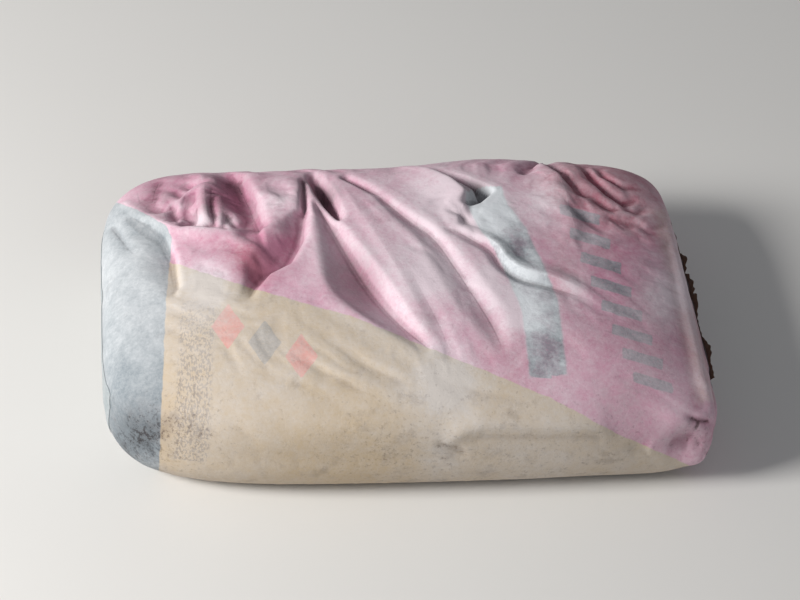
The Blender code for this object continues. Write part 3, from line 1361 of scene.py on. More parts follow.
    def _bars(self, pixels: Array) -> Array:
        """Distance to the nearest of a row of slanted bars.

        Args:
            pixels: Pixels, one a row.

        Returns:
            The signed distances, negative inside.
        """
        start, end = np.array(self.bars_middle, float)
        best = np.full(len(pixels), np.inf)
        for share in np.linspace(0, 1, self.bar_count):
            x, y = (pixels - (start + (end - start) * share)).T
            y = y - self.bar_slant * x
            gap_x = np.abs(x) - self.bar_reach[0]
            gap_y = np.abs(y) - self.bar_reach[1]
            outside = np.hypot(np.maximum(gap_x, 0), np.maximum(gap_y, 0))
            best = np.minimum(best, outside + np.minimum(np.maximum(gap_x, gap_y), 0))
        return best


# Spots of more or less dust. Besides real dust they hold painted highlights on facets that lie in
# shade and on small lit tabs, and painted shade on the shadowed facets.
DUST_HIGHLIGHT_AND_SHADE_SPOTS = spot_table(
    (602, 468, 34, 0.36), (560, 452, 22, 0.14), (632, 430, 22, 0.26), (647, 433, 11, 1.3),
    (677, 428, 15, 0.4), (750, 480, 15, 0.6), (620, 468, 12, 0.22), (648, 470, 10, 0.26),
    (455, 452, 9, 0.15), (622, 533, 20, 0.55), (662, 455, 7, -0.35), (674, 467, 6, 0.3),
    (668, 488, 14, 0.6), (684, 508, 9, -0.25), (676, 522, 9, -0.2), (612, 425, 24, 0.24),
    (650, 476, 20, 0.26), (712, 414, 26, -0.12), (697, 474, 9, 0.35), (572, 470, 17, -0.22),
    (748, 500, 22, 0.04), (725, 465, 22, -0.14), (722, 505, 30, -0.08), (490, 456, 24, -0.12),
    (518, 456, 16, -0.14), (680, 562, 40, 0.14), (466, 424, 20, -0.1), (498, 425, 15, -0.42),
    (526, 427, 12, 0.3), (484, 437, 5, 0.5), (499, 438, 5, 0.5), (488, 474, 14, 0.6),
    (612, 470, 10, 0.2), (490, 438, 9, 0.2), (440, 480, 34, 0.16), (446, 535, 24, -0.14),
    (446, 562, 18, -0.3), (620, 573, 10, 0.34), (560, 580, 50, -0.22), (520, 470, 9, -0.2),
    (525, 453, 14, -0.3), (512, 466, 11, -0.26), (482, 480, 30, 0.12),
)
RED_SPOTS = spot_table(
    (705, 413, 28, 1.0), (735, 428, 22, 0.8), (512, 464, 16, 0.5), (485, 452, 20, 0.15),
    (690, 470, 18, 0.35), (655, 516, 24, 0.4), (735, 500, 34, 0.25), (600, 500, 20, 0.2),
)
# Soft dark spots: partly smudges of dirt, partly painted shade on the shadowed facets, in the
# notch and in the pinch's holes.
SHADE_AND_SMUDGE_SPOTS = spot_table(
    (500, 423, 14, 0.5), (489, 428, 8, 0.5), (458, 422, 12, 0.5), (725, 548, 24, 0.5),
    (571, 466, 15, 0.5), (576, 480, 12, 0.3), (543, 418, 6, 0.7), (556, 424, 7, 0.8),
    (641, 421, 7, 0.9), (448, 556, 19, 0.6), (525, 451, 14, 0.35), (512, 467, 9, 0.35),
    (765, 558, 13, 0.3), (757, 500, 26, 0.25), (716, 424, 8, 0.3), (694, 413, 7, 0.3),
    (646, 493, 7, 0.25), (617, 491, 6, 0.2),
)
DIRT_SPOTS = spot_table(
    (447, 563, 17, 0.5), (478, 560, 26, 0.35), (600, 585, 60, 0.25), (700, 585, 60, 0.2),
    (770, 560, 14, 0.25), (498, 424, 14, 0.25), (458, 424, 8, 0.2),
)
SPOTS = {
    # The dust spots also carry painted highlights and painted shade.
    "dust": DUST_HIGHLIGHT_AND_SHADE_SPOTS,
    "red_ink": RED_SPOTS,
    "smudge": SHADE_AND_SMUDGE_SPOTS,
    "dirt": DIRT_SPOTS,
}


def spotted(pixels: Array, spots: Sequence[Spot]) -> Array:
    """Sum of the spots, each its amount times exp(-(distance / reach)^2).

    Args:
        pixels: Pixels, one a row.
        spots: The spots.

    Returns:
        One number for each pixel.
    """
    total = np.zeros(len(pixels))
    for spot in spots:
        away = lengths(pixels - np.array(spot.pixel)) / spot.reach
        total += spot.amount * np.exp(-(away**2))
    return total


# Shader maths


class Value:
    """A shader socket that carries a number and takes Python operators."""

    def __init__(self, sheet: "NodeSheet", socket: bpy.types.NodeSocket) -> None:
        """Wrap a socket of a node sheet."""
        self.sheet = sheet
        self.socket = socket

    def __add__(self, other: "Number") -> "Value":
        """Sum of two values."""
        return self.sheet.math("ADD", self, other)

    __radd__ = __add__

    def __sub__(self, other: "Number") -> "Value":
        """Difference of two values."""
        return self.sheet.math("SUBTRACT", self, other)

    def __rsub__(self, other: "Number") -> "Value":
        """Difference with the number first."""
        return self.sheet.math("SUBTRACT", other, self)

    def __mul__(self, other: "Number") -> "Value":
        """Product of two values."""
        return self.sheet.math("MULTIPLY", self, other)

    __rmul__ = __mul__

    def __abs__(self) -> "Value":
        """Size of a value without its sign."""
        return self.sheet.math("ABSOLUTE", self)


Number = Value | float


class NodeSheet:
    """The node tree of one material, written as expressions."""

    def __init__(self, name: str) -> None:
        """Make a material with an empty tree.

        Args:
            name: The material's name.
        """
        self.material = bpy.data.materials.new(name)
        self.material.use_nodes = True
        self.tree = self.material.node_tree
        self.tree.nodes.clear()

    def node(self, kind: str, settings: dict | None = None, **sockets: object) -> bpy.types.Node:
        """Add a node: its settings first, then its sockets.

        Args:
            kind: The node's type.
            settings: Attributes of the node, such as a Math node's operation.
            **sockets: Input name with _ for a space, or a number after a
                leading underscore, and its value or link.

        Returns:
            The new node.
        """
        node = self.tree.nodes.new(kind)
        for key, value in (settings or {}).items():
            setattr(node, key, value)
        for key, value in sockets.items():
            number = key[1:].isdigit() and key[0] == "_"
            self._feed(node.inputs[int(key[1:]) if number else key.replace("_", " ")], value)
        return node

    def _feed(self, socket: bpy.types.NodeSocket, value: object) -> None:
        """Link a value or a socket to an input, or set the input to a constant.

        Args:
            socket: The input.
            value: What it gets.
        """
        source = value.socket if isinstance(value, Value) else value
        if isinstance(source, bpy.types.NodeSocket):
            self.tree.links.new(source, socket)
        else:
            socket.default_value = source

    def math(self, operation: str, *terms: Number) -> Value:
        """Add a Math node.

        Args:
            operation: Its operation.
            *terms: One to three values or numbers.

        Returns:
            Its result.
        """
        sockets = {f"_{k}": term for k, term in enumerate(terms)}
        node = self.node("ShaderNodeMath", {"operation": operation}, **sockets)
        return Value(self, node.outputs[0])

    def step(self, value: Value, low: float, high: float) -> Value:
        """Rise smoothly from 0 to 1.

        Args:
            value: The value that is looked at.
            low: Where the rise starts; it may be the greater.
            high: Where it ends.

        Returns:
            The share from 0 to 1.
        """
        sockets = {"Value": value, "From_Min": low, "From_Max": high}
        settings = {"interpolation_type": "SMOOTHSTEP"}
        return Value(self, self.node("ShaderNodeMapRange", settings, **sockets).outputs[0])

    def attribute(self, name: str) -> Value:
        """Read a number that the mesh carries at its vertices."""
        node = self.node("ShaderNodeAttribute", {"attribute_name": name})
        return Value(self, node.outputs["Fac"])

    def object_place(self) -> bpy.types.NodeSocket:
        """The point on the object, in metres."""
        return self.node("ShaderNodeTexCoord").outputs["Object"]

    def stretched(self, vector: bpy.types.NodeSocket, scale: Sequence[float]) -> object:
        """Scale a vector along its axes."""
        settings = {"operation": "MULTIPLY"}
        return self.node("ShaderNodeVectorMath", settings, _0=vector, _1=tuple(scale)).outputs[0]

    def noise(self, vector: bpy.types.NodeSocket, scale: float, *shape: float) -> Value:
        """Noise around 0.5.

        Args:
            vector: The point that it is read at.
            scale: Its periods in a metre.
            *shape: Number of finer octaves, their roughness and the distortion.

        Returns:
            The noise.
        """
        sockets = {"Vector": vector, "Scale": scale, "Detail": 3.0, "Roughness": 0.55}
        sockets |= dict(zip(("Detail", "Roughness", "Distortion"), shape))
        return Value(self, self.node("ShaderNodeTexNoise", None, **sockets).outputs[0])

    def colour(self, factor: Number, low: object, high: object, blend: str = "MIX") -> object:
        """Mix two colours.

        Args:
            factor: Share of the second.
            low: The first, a colour or a socket.
            high: The second.
            blend: How they are mixed.

        Returns:
            The mixed colour's socket.
        """
        node = self.node("ShaderNodeMix", {"data_type": "RGBA", "blend_type": blend}, _0=factor)
        for number, value in ((6, low), (7, high)):
            self._feed(node.inputs[number], (*value, 1.0) if isinstance(value, tuple) else value)
        return node.outputs[2]

    def bump(self, height: Value, strength: float, distance: float) -> object:
        """Turn a height, in units of the distance in metres, into a normal."""
        sockets = {"Height": height, "Strength": strength, "Distance": distance}
        return self.node("ShaderNodeBump", None, **sockets).outputs[0]

    def surface(self, colour: object, roughness: Number, normal: object, sheen: float) -> None:
        """Finish the tree with a Principled shader.

        Args:
            colour: Its colour's socket.
            roughness: Its roughness.
            normal: Its normal's socket.
            sheen: The paper fibres' sheen, the same all over.
        """
        varying = {"Base_Color": colour, "Roughness": roughness, "Normal": normal}
        even = {"Specular_IOR_Level": 0.25, "Sheen_Weight": sheen, "Sheen_Roughness": 0.6}
        shader = self.node("ShaderNodeBsdfPrincipled", None, **varying, **even)
        self.node("ShaderNodeOutputMaterial", None, Surface=shader.outputs[0])


def linear(red: int, green: int, blue: int) -> tuple[float, float, float]:
    """Turn a colour of 0 to 255 into the shader's linear light."""
    shares = [c / 255 for c in (red, green, blue)]
    return tuple(c / 12.92 if c <= 0.04045 else ((c + 0.055) / 1.055) ** 2.4 for c in shares)


# Finishes


@dataclass(frozen=True)
class PrintedPaper:
    """Dusty printed kraft paper, with worn folds and painted shade in its creases.

    Attributes:
        kraft: Bare paper.
        pink: The ink of the upper field.
        deep_pink: The same ink where no dust has settled.
        grey: The ink of the end band and the marks.
        deep_grey: The same ink where it lies thicker.
        red: The ink of the outer lozenges.
        faded_black: The ink of the fine print.
        dust: Cement dust.
        lilac_dust: Cement dust that the upper field's ink shines through.
        blue_dust: Cement dust on the grey ink.
        pale_dust: Thick cement dust on the curved stripe.
        stain: Dirt and damp, and the painted shade of the creases, notches and dark facets.
        hole: Painted shade inside a small tear.
        cover: Usual share of the colour that the dust hides.
        least_cover: Its least share.
        full_cover: Its greatest share.
        grain_turn: Turn of the fine wrinkles about the vertical, in radians.
        grain: Their periods in a metre across, along and up.
        relief_depth: Depth of the bump's full height, in metres.
    """

    kraft: tuple = linear(190, 170, 141)
    pink: tuple = linear(188, 120, 148)
    deep_pink: tuple = linear(176, 92, 112)
    grey: tuple = linear(114, 124, 131)
    deep_grey: tuple = linear(84, 98, 106)
    red: tuple = linear(226, 118, 114)
    faded_black: tuple = linear(118, 106, 98)
    dust: tuple = linear(204, 198, 194)
    lilac_dust: tuple = linear(226, 213, 220)
    blue_dust: tuple = linear(206, 209, 212)
    pale_dust: tuple = linear(228, 232, 236)
    stain: tuple = linear(98, 82, 82)
    hole: tuple = linear(52, 30, 26)
    cover: float = 0.44
    least_cover: float = 0.08
    full_cover: float = 0.9
    grain_turn: float = 0.985
    grain: tuple = (9.0, 85.0, 40.0)
    relief_depth: float = 0.0010

    def material(self) -> bpy.types.Material:
        """Build the material from the sack's attributes and noise.

        Returns:
            The material.
        """
        sheet = NodeSheet("printed_paper_skin")
        layers = PrintLayers(sheet, self)
        colour = layers.soiled(layers.dusted(layers.printed()))
        normal = sheet.bump(layers.relief(), 0.55, self.relief_depth)
        sheet.surface(colour, 0.78 + 0.16 * layers.cloud, normal, 0.05)
        return sheet.material


class PrintLayers:
    """The layers of the printed paper, and the shader values that they share.

    Attributes:
        sheet: The node sheet.
        paper: The paper's finish.
        place: The point on the object.
        wobble: Small shift of the print's edges, in metres.
        wear: Fine noise that the worn ink follows.
        marks: How much of the ink has stayed.
        cloud: Noise as wide as a hand.
        patchy: Noise as wide as a thumb.
        blotch: Noise as wide as a fingertip.
        ridge: How far the paper stands over its near surroundings.
        groove: The line along a sharp valley.
        crest: The line along a sharp ridge.
        field: Inside the upper field.
        band: Inside the end band.
        stripe: Inside the curved stripe, whose edges are soft.
        stripe_core: The same with a sharp edge.
        torn: Inside a small tear.
    """

    EDGE = 0.0006
    STRIPE_EDGE = 0.0026
    TEAR_EDGE = 0.0012
    WOBBLE = 0.003

    def __init__(self, sheet: NodeSheet, paper: PrintedPaper) -> None:
        """Add the shared values to a sheet.

        Args:
            sheet: The sheet.
            paper: The paper's finish.
        """
        self.sheet, self.paper = sheet, paper
        self.place = place = sheet.object_place()
        self.wobble = (sheet.noise(place, 90.0, 3.0) - 0.5) * self.WOBBLE
        self.wear = sheet.noise(place, 420.0, 4.0, 0.7)
        self.marks = sheet.step(self.wear, 0.30, 0.50)
        self.cloud = sheet.noise(place, 11.0, 6.0, 0.65, 0.4)
        self.patchy = sheet.noise(place, 40.0, 3.0, 0.6)
        self.blotch = sheet.noise(place, 70.0, 5.0, 0.7)
        self.ridge = sheet.attribute("fine_ridge")
        self.groove = self._along("valley", 0.0018)
        self.crest = self._along("ridge", 0.0016)
        self.field = self._inside("field_edge")
        self.band = self._inside("band_edge")
        self.stripe = self._inside("stripe_edge", self.STRIPE_EDGE)
        self.stripe_core = self._inside("stripe_edge")
        self.torn = self._inside("tear_edge", self.TEAR_EDGE)

    def _inside(self, name: str, softness: float = EDGE) -> Value:
        """Share from 0 to 1 inside the edge that an attribute gives."""
        return self.sheet.step(self.sheet.attribute(name) + self.wobble, softness, -softness)

    def _along(self, kind: str, reach: float) -> Value:
        """Share from 0 to 1 towards the marked line of a valley or a ridge."""
        line = self.sheet.step(abs(self.sheet.attribute(f"{kind}_line")), reach, 0.0)
        return line * self.sheet.attribute(f"{kind}_mark")

    def printed(self) -> object:
        """Print the inks on the bare paper.

        Returns:
            The colour's socket.
        """
        sheet, paper, marks = self.sheet, self.paper, self.marks
        warm = sheet.noise(self.place, 22.0, 3.0, 0.6)
        red_share = sheet.step(sheet.attribute("red_ink") + 0.9 * (warm - 0.5), 0.0, 0.9)
        pink = sheet.colour(red_share, paper.pink, paper.deep_pink)
        colour = sheet.colour(self.field, paper.kraft, pink)
        fine_place = sheet.stretched(self.place, (520.0, 260.0, 260.0))
        words = sheet.step(sheet.noise(fine_place, 1.0, 2.0, 0.6), 0.48, 0.56)
        thin = sheet.step(self.patchy, 0.4, 0.6)
        rim = self.stripe_core * sheet.step(sheet.attribute("stripe_edge"), -0.009, -0.001)
        inks = (
            (0.7 * (words * self._inside("note_edge", 0.002)), paper.faded_black),
            (self.stripe * (0.55 + 0.25 * marks + 0.2 * thin), paper.grey),
            (0.45 * rim, paper.deep_grey),
            (self._inside("bar_edge") * (0.45 + 0.45 * marks), paper.grey),
            (self._inside("lozenge_edge") * (0.45 + 0.3 * marks), paper.red),
            (self._inside("lozenge_core") * (0.35 + 0.3 * marks), paper.grey),
            (self.band, paper.grey),
        )
        for share, ink in inks:
            colour = sheet.colour(share, colour, ink)
        return colour

    def dusted(self, colour: object) -> object:
        """Wear the right edge's ink and lay cement dust, with painted highlights and painted
        shade, on the paper.

        Args:
            colour: The print's colour.

        Returns:
            The colour's socket.
        """
        sheet, paper = self.sheet, self.paper
        speck = sheet.noise(self.place, 300.0, 3.0, 0.75)
        lie = paper.cover + 0.7 * (self.cloud - 0.5) + 0.75 * (self.blotch - 0.5)
        # The dust attribute adds painted highlights and painted shade to the real dust.
        lie = lie + 0.5 * (speck - 0.5) + sheet.attribute("dust")
        lie = lie + 0.05 * sheet.attribute("wide_ridge") + 0.08 * self.ridge
        lie = lie + 0.15 * self.crest + 1.1 * self.stripe * (self.patchy - 0.5)
        dust = sheet.math("MAXIMUM", lie, paper.least_cover)
        dust = sheet.math("MINIMUM", dust, paper.full_cover)
        worn = self._inside("worn_edge", 0.008) * sheet.step(self.wear, 0.25, 0.55)
        colour = sheet.colour(0.5 * worn, colour, paper.kraft)
        grey_mask = sheet.math("MAXIMUM", self.stripe_core, self.band)
        tint = sheet.colour(self.field, paper.dust, paper.lilac_dust)
        tint = sheet.colour(grey_mask, tint, paper.blue_dust)
        tint = sheet.colour(self.stripe, tint, paper.pale_dust)
        return sheet.colour(dust, colour, tint)

    def soiled(self, colour: object) -> object:
        """Stain the paper, paint shade into its creases and dark facets, and paint shade inside
        its tears.

        Args:
            colour: The dusty colour.

        Returns:
            The colour's socket.
        """
        sheet, place = self.sheet, self.place
        dirt = sheet.attribute("dirt")
        grime = sheet.step(sheet.noise(place, 34.0, 6.0, 0.7) + 0.25 * dirt, 0.56, 0.74)
        grain = sheet.step(sheet.noise(place, 230.0, 4.0, 0.75) + 0.22 * dirt, 0.60, 0.70)
        # Painted shade: the paper darkens where it lies below its near surroundings, in the
        # creases.
        crease_shade = sheet.step(self.ridge, -0.2, -1.0)
        soil_and_shade = 0.22 * grime + 0.25 * crease_shade + (0.15 + 0.5 * dirt) * grain
        # Painted shade along the sharp valley lines.
        soil_and_shade = soil_and_shade + 0.18 * self.groove
        # The smudge spots: dirt, and painted shade on the shadowed facets and in the notch and
        # holes.
        soil_and_shade = soil_and_shade + sheet.attribute("smudge") * (0.6 + 1.2 * (self.blotch - 0.5))
        soil_and_shade = sheet.math("MINIMUM", soil_and_shade, 1.0)
        # Multiply by the stain colour: real grime, and painted shade in the creases, notches and
        # dark facets.
        colour = sheet.colour(soil_and_shade, colour, self.paper.stain, "MULTIPLY")
        # Painted shade inside the small tears.
        return sheet.colour(0.85 * self.torn, colour, self.paper.hole)

    def relief(self) -> Value:
        """Sum the fine wrinkles, the fibres, the grit and the sharp folds.

        Returns:
            The height, in units of the relief's depth.
        """
        sheet, place, paper = self.sheet, self.place, self.paper
        veins = abs(sheet.noise(place, 42.0, 2.0, 0.5, 0.6) - 0.5)
        small_veins = abs(sheet.noise(place, 95.0, 2.0, 0.5, 0.8) - 0.5)
        sockets = {"Vector": place, "Rotation": (0.0, 0.0, paper.grain_turn), "Scale": paper.grain}
        turned = sheet.node("ShaderNodeMapping", None, **sockets).outputs[0]
        wrinkle = sheet.noise(turned, 1.0, 3.0, 0.6, 0.5)
        fibre = sheet.noise(place, 1500.0, 3.0, 0.6)
        grit = sheet.noise(place, 520.0, 4.0, 0.7)
        relief = 0.10 * sheet.step(veins, 0.0, 0.09) + 0.06 * sheet.step(small_veins, 0.0, 0.10)
        relief = relief + 0.60 * wrinkle + 0.06 * fibre + 0.20 * grit
        return relief - 0.6 * self.groove + 0.3 * self.crest - 0.6 * self.torn


@dataclass(frozen=True)
class PlainPaper:
    """Unprinted kraft paper under dust.

    Attributes:
        name: The material's name.
        kraft: The paper.
        dust: Cement dust.
        cover: How much of the paper the dust hides.
        torn: Bare fibres of a torn edge.
    """

    name: str
    kraft: tuple
    dust: tuple
    cover: float
    torn: tuple = linear(104, 74, 56)

    def material(self) -> bpy.types.Material:
        """Build the material from noise on the object's coordinates.

        Returns:
            The material.
        """
        sheet = NodeSheet(self.name)
        place = sheet.object_place()
        cloud = sheet.noise(place, 22.0, 5.0, 0.65, 0.3)
        speck = sheet.noise(place, 300.0, 3.0, 0.75)
        lie = self.cover + 0.8 * (cloud - 0.5) + 0.5 * (speck - 0.5)
        dust = sheet.math("MINIMUM", sheet.math("MAXIMUM", lie, 0.05), 0.92)
        fibre = sheet.noise(sheet.stretched(place, (1.0, 0.35, 1.0)), 1300.0, 3.0, 0.6)
        kraft = sheet.colour(fibre, tuple(0.75 * c for c in self.kraft), self.kraft)
        colour = sheet.colour(dust, kraft, self.dust)
        char = sheet.noise(place, 150.0, 3.0, 0.7)
        fray = sheet.colour(char, tuple(0.25 * c for c in self.torn), self.torn)
        colour = sheet.colour(sheet.attribute("torn"), colour, fray)
        veins = abs(sheet.noise(place, 60.0, 2.0, 0.5, 0.6) - 0.5)
        relief = sheet.step(veins, 0.0, 0.07) * 0.4 + 0.25 * speck + 0.1 * fibre
        sheet.surface(colour, 0.82 + 0.1 * cloud, sheet.bump(relief, 0.5, 0.0008), 0.1)
        return sheet.material


@dataclass(frozen=True)
class StudioFloor:
    """The plain pale floor's finish."""

    shade: tuple = (0.72, 0.71, 0.69)

    def material(self) -> bpy.types.Material:
        """Build the floor's material.

        Returns:
            The material.
        """
        sheet = NodeSheet("studio_floor")
        place = sheet.object_place()
        cloud = sheet.noise(place, 3.0, 2.0)
        colour = sheet.colour(cloud, tuple(0.97 * c for c in self.shade), self.shade)
        sheet.surface(colour, 0.9, sheet.bump(cloud, 0.05, 0.001), 0.0)
        return sheet.material


# Pieces


def new_mesh(name: str, points: Array, corners: Array, counts: Array) -> bpy.types.Object:
    """Make a smooth-shaded mesh object at the origin.

    Args:
        name: The piece's name.
        points: Vertices, one a row.
        corners: The faces' corners one after another, seen from outside.
        counts: Each face's number of corners.

    Returns:
        The object, linked to the scene.
    """
    mesh = bpy.data.meshes.new(name)
    mesh.vertices.add(len(points))
    mesh.vertices.foreach_set("co", points.astype(np.float32).ravel())
    mesh.loops.add(len(corners))
    mesh.loops.foreach_set("vertex_index", corners.astype(np.int32))
    mesh.polygons.add(len(counts))
    starts = np.cumsum(counts) - counts
    mesh.polygons.foreach_set("loop_start", starts.astype(np.int32))
    mesh.update(calc_edges=True)
    mesh.validate()
    mesh.shade_smooth()
    piece = bpy.data.objects.new(name, mesh)
    bpy.context.scene.collection.objects.link(piece)
    return piece


def carry(piece: bpy.types.Object, name: str, values: Array) -> None:
    """Store one number for each vertex on a piece's mesh."""
    layer = piece.data.attributes.new(name, "FLOAT", "POINT")
    layer.data.foreach_set("value", values.astype(np.float32))


@dataclass
class FilledSack:
    """The paper tube on its charge.

    Attributes:
        form: The rounded block.
        view: The photograph's camera.
        temper: How the paper bends.
        layout: The print's edges.
        levels: Cells along X, Y and Z of each grid, coarse to fine.
        passes: Passes of the relaxation on each grid.
        spans: Cells over which each grid resists folding.
        grain: Unit direction that the folds follow where no crease leads.
        inset: How far the charge lies inside the rounded block.
        under_step: Cells along a side of the underside's wide faces.
        blend_passes: Passes that blend the folds' directions on the middle grid.
        wave_length: Length of the first unevenness's longest waves.
        least_cross: Share of the cross slack that is left away from creases.
        fine_ridge: Passes and height in mm that the fine relief is told by.
        wide_ridge: The same for the wide relief.
        drift_passes: Passes that smooth the skin before the print is laid on it.
    """

    form: SackForm
    view: PhotoView = PhotoView()
    temper: PaperTemper = PaperTemper()
    layout: PrintLayout = PrintLayout()
    levels: tuple = ((70, 45, 12), (140, 90, 24), (280, 180, 48))
    passes: tuple = (200, 200, 150)
    spans: tuple = ((2,), (2, 4), (2, 4, 8))
    grain: tuple = (0.55, -0.83, 0.0)
    inset: float = 0.003
    under_step: int = 4
    blend_passes: float = 3.0
    wave_length: float = 0.09
    least_cross: float = 0.07
    fine_ridge: tuple[int, float] = (9, 0.9)
    wide_ridge: tuple[int, float] = (90, 5.0)
    drift_passes: int = 8
    grid: SkinGrid = field(init=False)
    photo: PhotoMap = field(init=False)
    skin: Array = field(init=False)

    def build(self) -> bpy.types.Object:
        """Shape the skin and dress it.

        Returns:
            The sack's object.
        """
        self.grid = SkinGrid(self.form, self.levels[-1])
        self.photo = PhotoMap(self.grid, self.view)
        ground = self._fold_paper()
        corners, counts = self.grid.shell(self.under_step)
        used, corners = np.unique(corners, return_inverse=True)
        piece = new_mesh("paper_sack", self.skin[used], corners, counts)
        for name, values in self._print(ground).items():
            carry(piece, name, values[used])
        piece.data.materials.append(PrintedPaper().material())
        return piece

    def _slack(self, grid: SkinGrid) -> Array:
        """Extra length of the paper: even, and more or less at the crumples.

        Args:
            grid: The grid of the sack.

        Returns:
            The share for each vertex.
        """
        slack = np.full(len(grid.base), self.temper.even_slack)
        for spot in CRUMPLES:
            middle = self.photo.points([spot.pixel])[0]
            away = lengths(grid.base - middle) / spot.reach
            slack = slack + spot.amount * np.exp(-(away**2))
        return slack * self.temper.slack_scale

    def _fold_paper(self) -> FoldedGround:
        """Crease the paper and relax it, from the coarse grid to the fine.

        Returns:
            The creases on the finest grid.
        """
        creases = CreaseField(self.photo, CREASES)
        offset, coarse = None, None
        for counts, passes, spans in zip(self.levels, self.passes, self.spans):
            grid = self.grid if counts == self.levels[-1] else SkinGrid(self.form, counts)
            ground = creases.evaluate(grid)
            guide = ground.guide
            inset = self.inset * np.clip(1 + 2 * (grid.upward + 0.1), 0, 1)
            core = grid.base + grid.normal * (ground.height - inset)[:, None]
            core[:, 2] = np.maximum(core[:, 2], 0.0)
            if offset is None:
                wave = self.temper.flutter * flutter(grid.base, self.wave_length, 3)
                skin = core + grid.normal * wave[:, None]
            else:
                skin = core + grid.lifted(coarse, offset)
            turned = np.where(ground.direction @ self.grain < 0, -guide, guide)
            along = ground.direction * turned[:, None] + np.outer(1 - guide, self.grain)
            blend = round(self.blend_passes * (counts[0] / CreaseField.CELLS_A_PASS) ** 2)
            along = grid.smoothed(along, blend)
            along /= lengths(along)[:, None]
            guide = grid.smoothed(guide, blend)
            cross = self.temper.cross_slack * mix(self.least_cross, 1.0, guide)
            cross *= np.clip(grid.upward, 0, 1)
            slack = self._slack(grid)
            paper = SlackPaper(grid, core, slack, cross, along, self.temper, spans)
            skin = paper.relax(skin, passes)
            offset, coarse = skin - core, grid
            LOG.info("paper relaxed on %d vertices", len(skin))
        self.skin = skin
        return ground

    def _print(self, ground: FoldedGround) -> dict[str, Array]:
        """Work out the print's edges, the spots and the folds' relief.

        Args:
            ground: The creases on the finest grid.

        Returns:
            One number for each vertex, by attribute name.
        """
        drift = self.grid.smoothed(self.skin - self.grid.base, self.drift_passes)
        pixels = self.view.pixels(self.grid.base + drift)
        facing = self.grid.normal @ self.view.axes()[2]
        found = self.layout.edges(pixels, facing)
        for name, spots in SPOTS.items():
            found[name] = spotted(pixels, spots) * np.clip(1 + 4 * facing, 0, 1)
        rise = np.einsum("ij,ij->i", self.skin - self.grid.base, self.grid.normal)
        (fine_passes, fine_height), (wide_passes, wide_height) = self.fine_ridge, self.wide_ridge
        fine = (rise - self.grid.fitted(rise, fine_passes)) / (fine_height * MM)
        wide = (rise - self.grid.smoothed(rise, wide_passes)) / (wide_height * MM)
        found["fine_ridge"] = np.clip(fine, -1, 1)
        found["wide_ridge"] = np.clip(wide, -1, 1)
        for kind, line in ground.lines.items():
            found[f"{kind}_line"] = np.clip(line, -0.01, 0.01)
            found[f"{kind}_mark"] = ground.marks[kind]
        return found


@dataclass
class PaperSheetOnSack:
    """A pasted sheet that follows a stretch of one of the sack's sides.

    Attributes:
        name: The piece's name.
        patch: Vertex numbers of the stretch, as a grid.
        finish: The paper's finish.
        gap: Clearance to the sack.
        thickness: Thickness of the paper.
        lip: How far a torn lip curls outwards from the upper edge.
        lip_rows: Rows of faces of the lip.
        lip_end: Where the tear ends towards the far side, along Y.
        lip_fade: Stretch over which it dies out there.
    """

    name: str
    patch: Array
    finish: PlainPaper
    gap: float = 0.2 * MM
    thickness: float = 0.5 * MM
    lip: float = 0.0
    lip_rows: int = 3
    lip_end: float = 0.105
    lip_fade: float = 0.03

    WAVE_LENGTHS = (0.09, 0.035)

    def build(self, sack: FilledSack, outward_turn: bool) -> bpy.types.Object:
        """Lay the sheet on the relaxed sack.

        Args:
            sack: The sack that carries it.
            outward_turn: Whether the grid's faces must be turned round.

        Returns:
            The sheet's object.
        """
        normal = sack.grid.normals(sack.skin)
        sheet = sack.skin[self.patch] + normal[self.patch] * self.gap
        torn = np.zeros(self.patch.shape)
        if self.lip:
            edge = self._torn_lip(sheet[:, -1], normal[self.patch[:, -1]])
            sheet = np.concatenate([sheet, edge], axis=1)
            torn = np.pad(torn, ((0, 0), (0, self.lip_rows)), constant_values=1.0)
        height, width = sheet.shape[:2]
        numbers = np.arange(height * width).reshape(height, width)
        corners = [numbers[:-1, :-1], numbers[1:, :-1], numbers[1:, 1:], numbers[:-1, 1:]]
        quads = np.stack(corners, -1).reshape(-1, 4)
        if outward_turn:
            quads = quads[:, ::-1]
        counts = np.full(len(quads), 4)
        piece = new_mesh(self.name, sheet.reshape(-1, 3), quads.ravel(), counts)
        carry(piece, "torn", torn.ravel())
        solid = piece.modifiers.new("Paper thickness", "SOLIDIFY")
        solid.thickness = self.thickness
        solid.offset = 1.0
        piece.data.materials.append(self.finish.material())
        return piece

    def _torn_lip(self, edge: Array, outward: Array) -> Array:
        """Rows beyond the upper edge, curling outwards to a ragged end.

        The lip's reach is lip times a mean of two sums of sine waves along
        the edge, a wide one that leaves stretches untorn and a fine one that
        makes the end ragged.

        Args:
            edge: The sheet's upper edge.
            outward: The outward normals there.

        Returns:
            The rows' points, after one another along the second axis.
        """
        wide, fine = (flutter(edge, w, s) for w, s in zip(self.WAVE_LENGTHS, (5, 6)))
        reach = self.lip * np.clip(0.70 + 0.30 * wide + 0.35 * fine, 0.12, 1.4)
        reach *= np.clip((self.lip_end - edge[:, 1]) / self.lip_fade, 0.05, 1)
        rows = []
        for row in range(1, self.lip_rows + 1):
            share = row / self.lip_rows
            out = outward * (reach * share**1.6)[:, None]
            up = np.array([0.0, 0.0, 1.0]) * (reach * 0.9 * share)[:, None]
            rows.append(edge + out + up)
        return np.stack(rows, axis=1)


# The studio


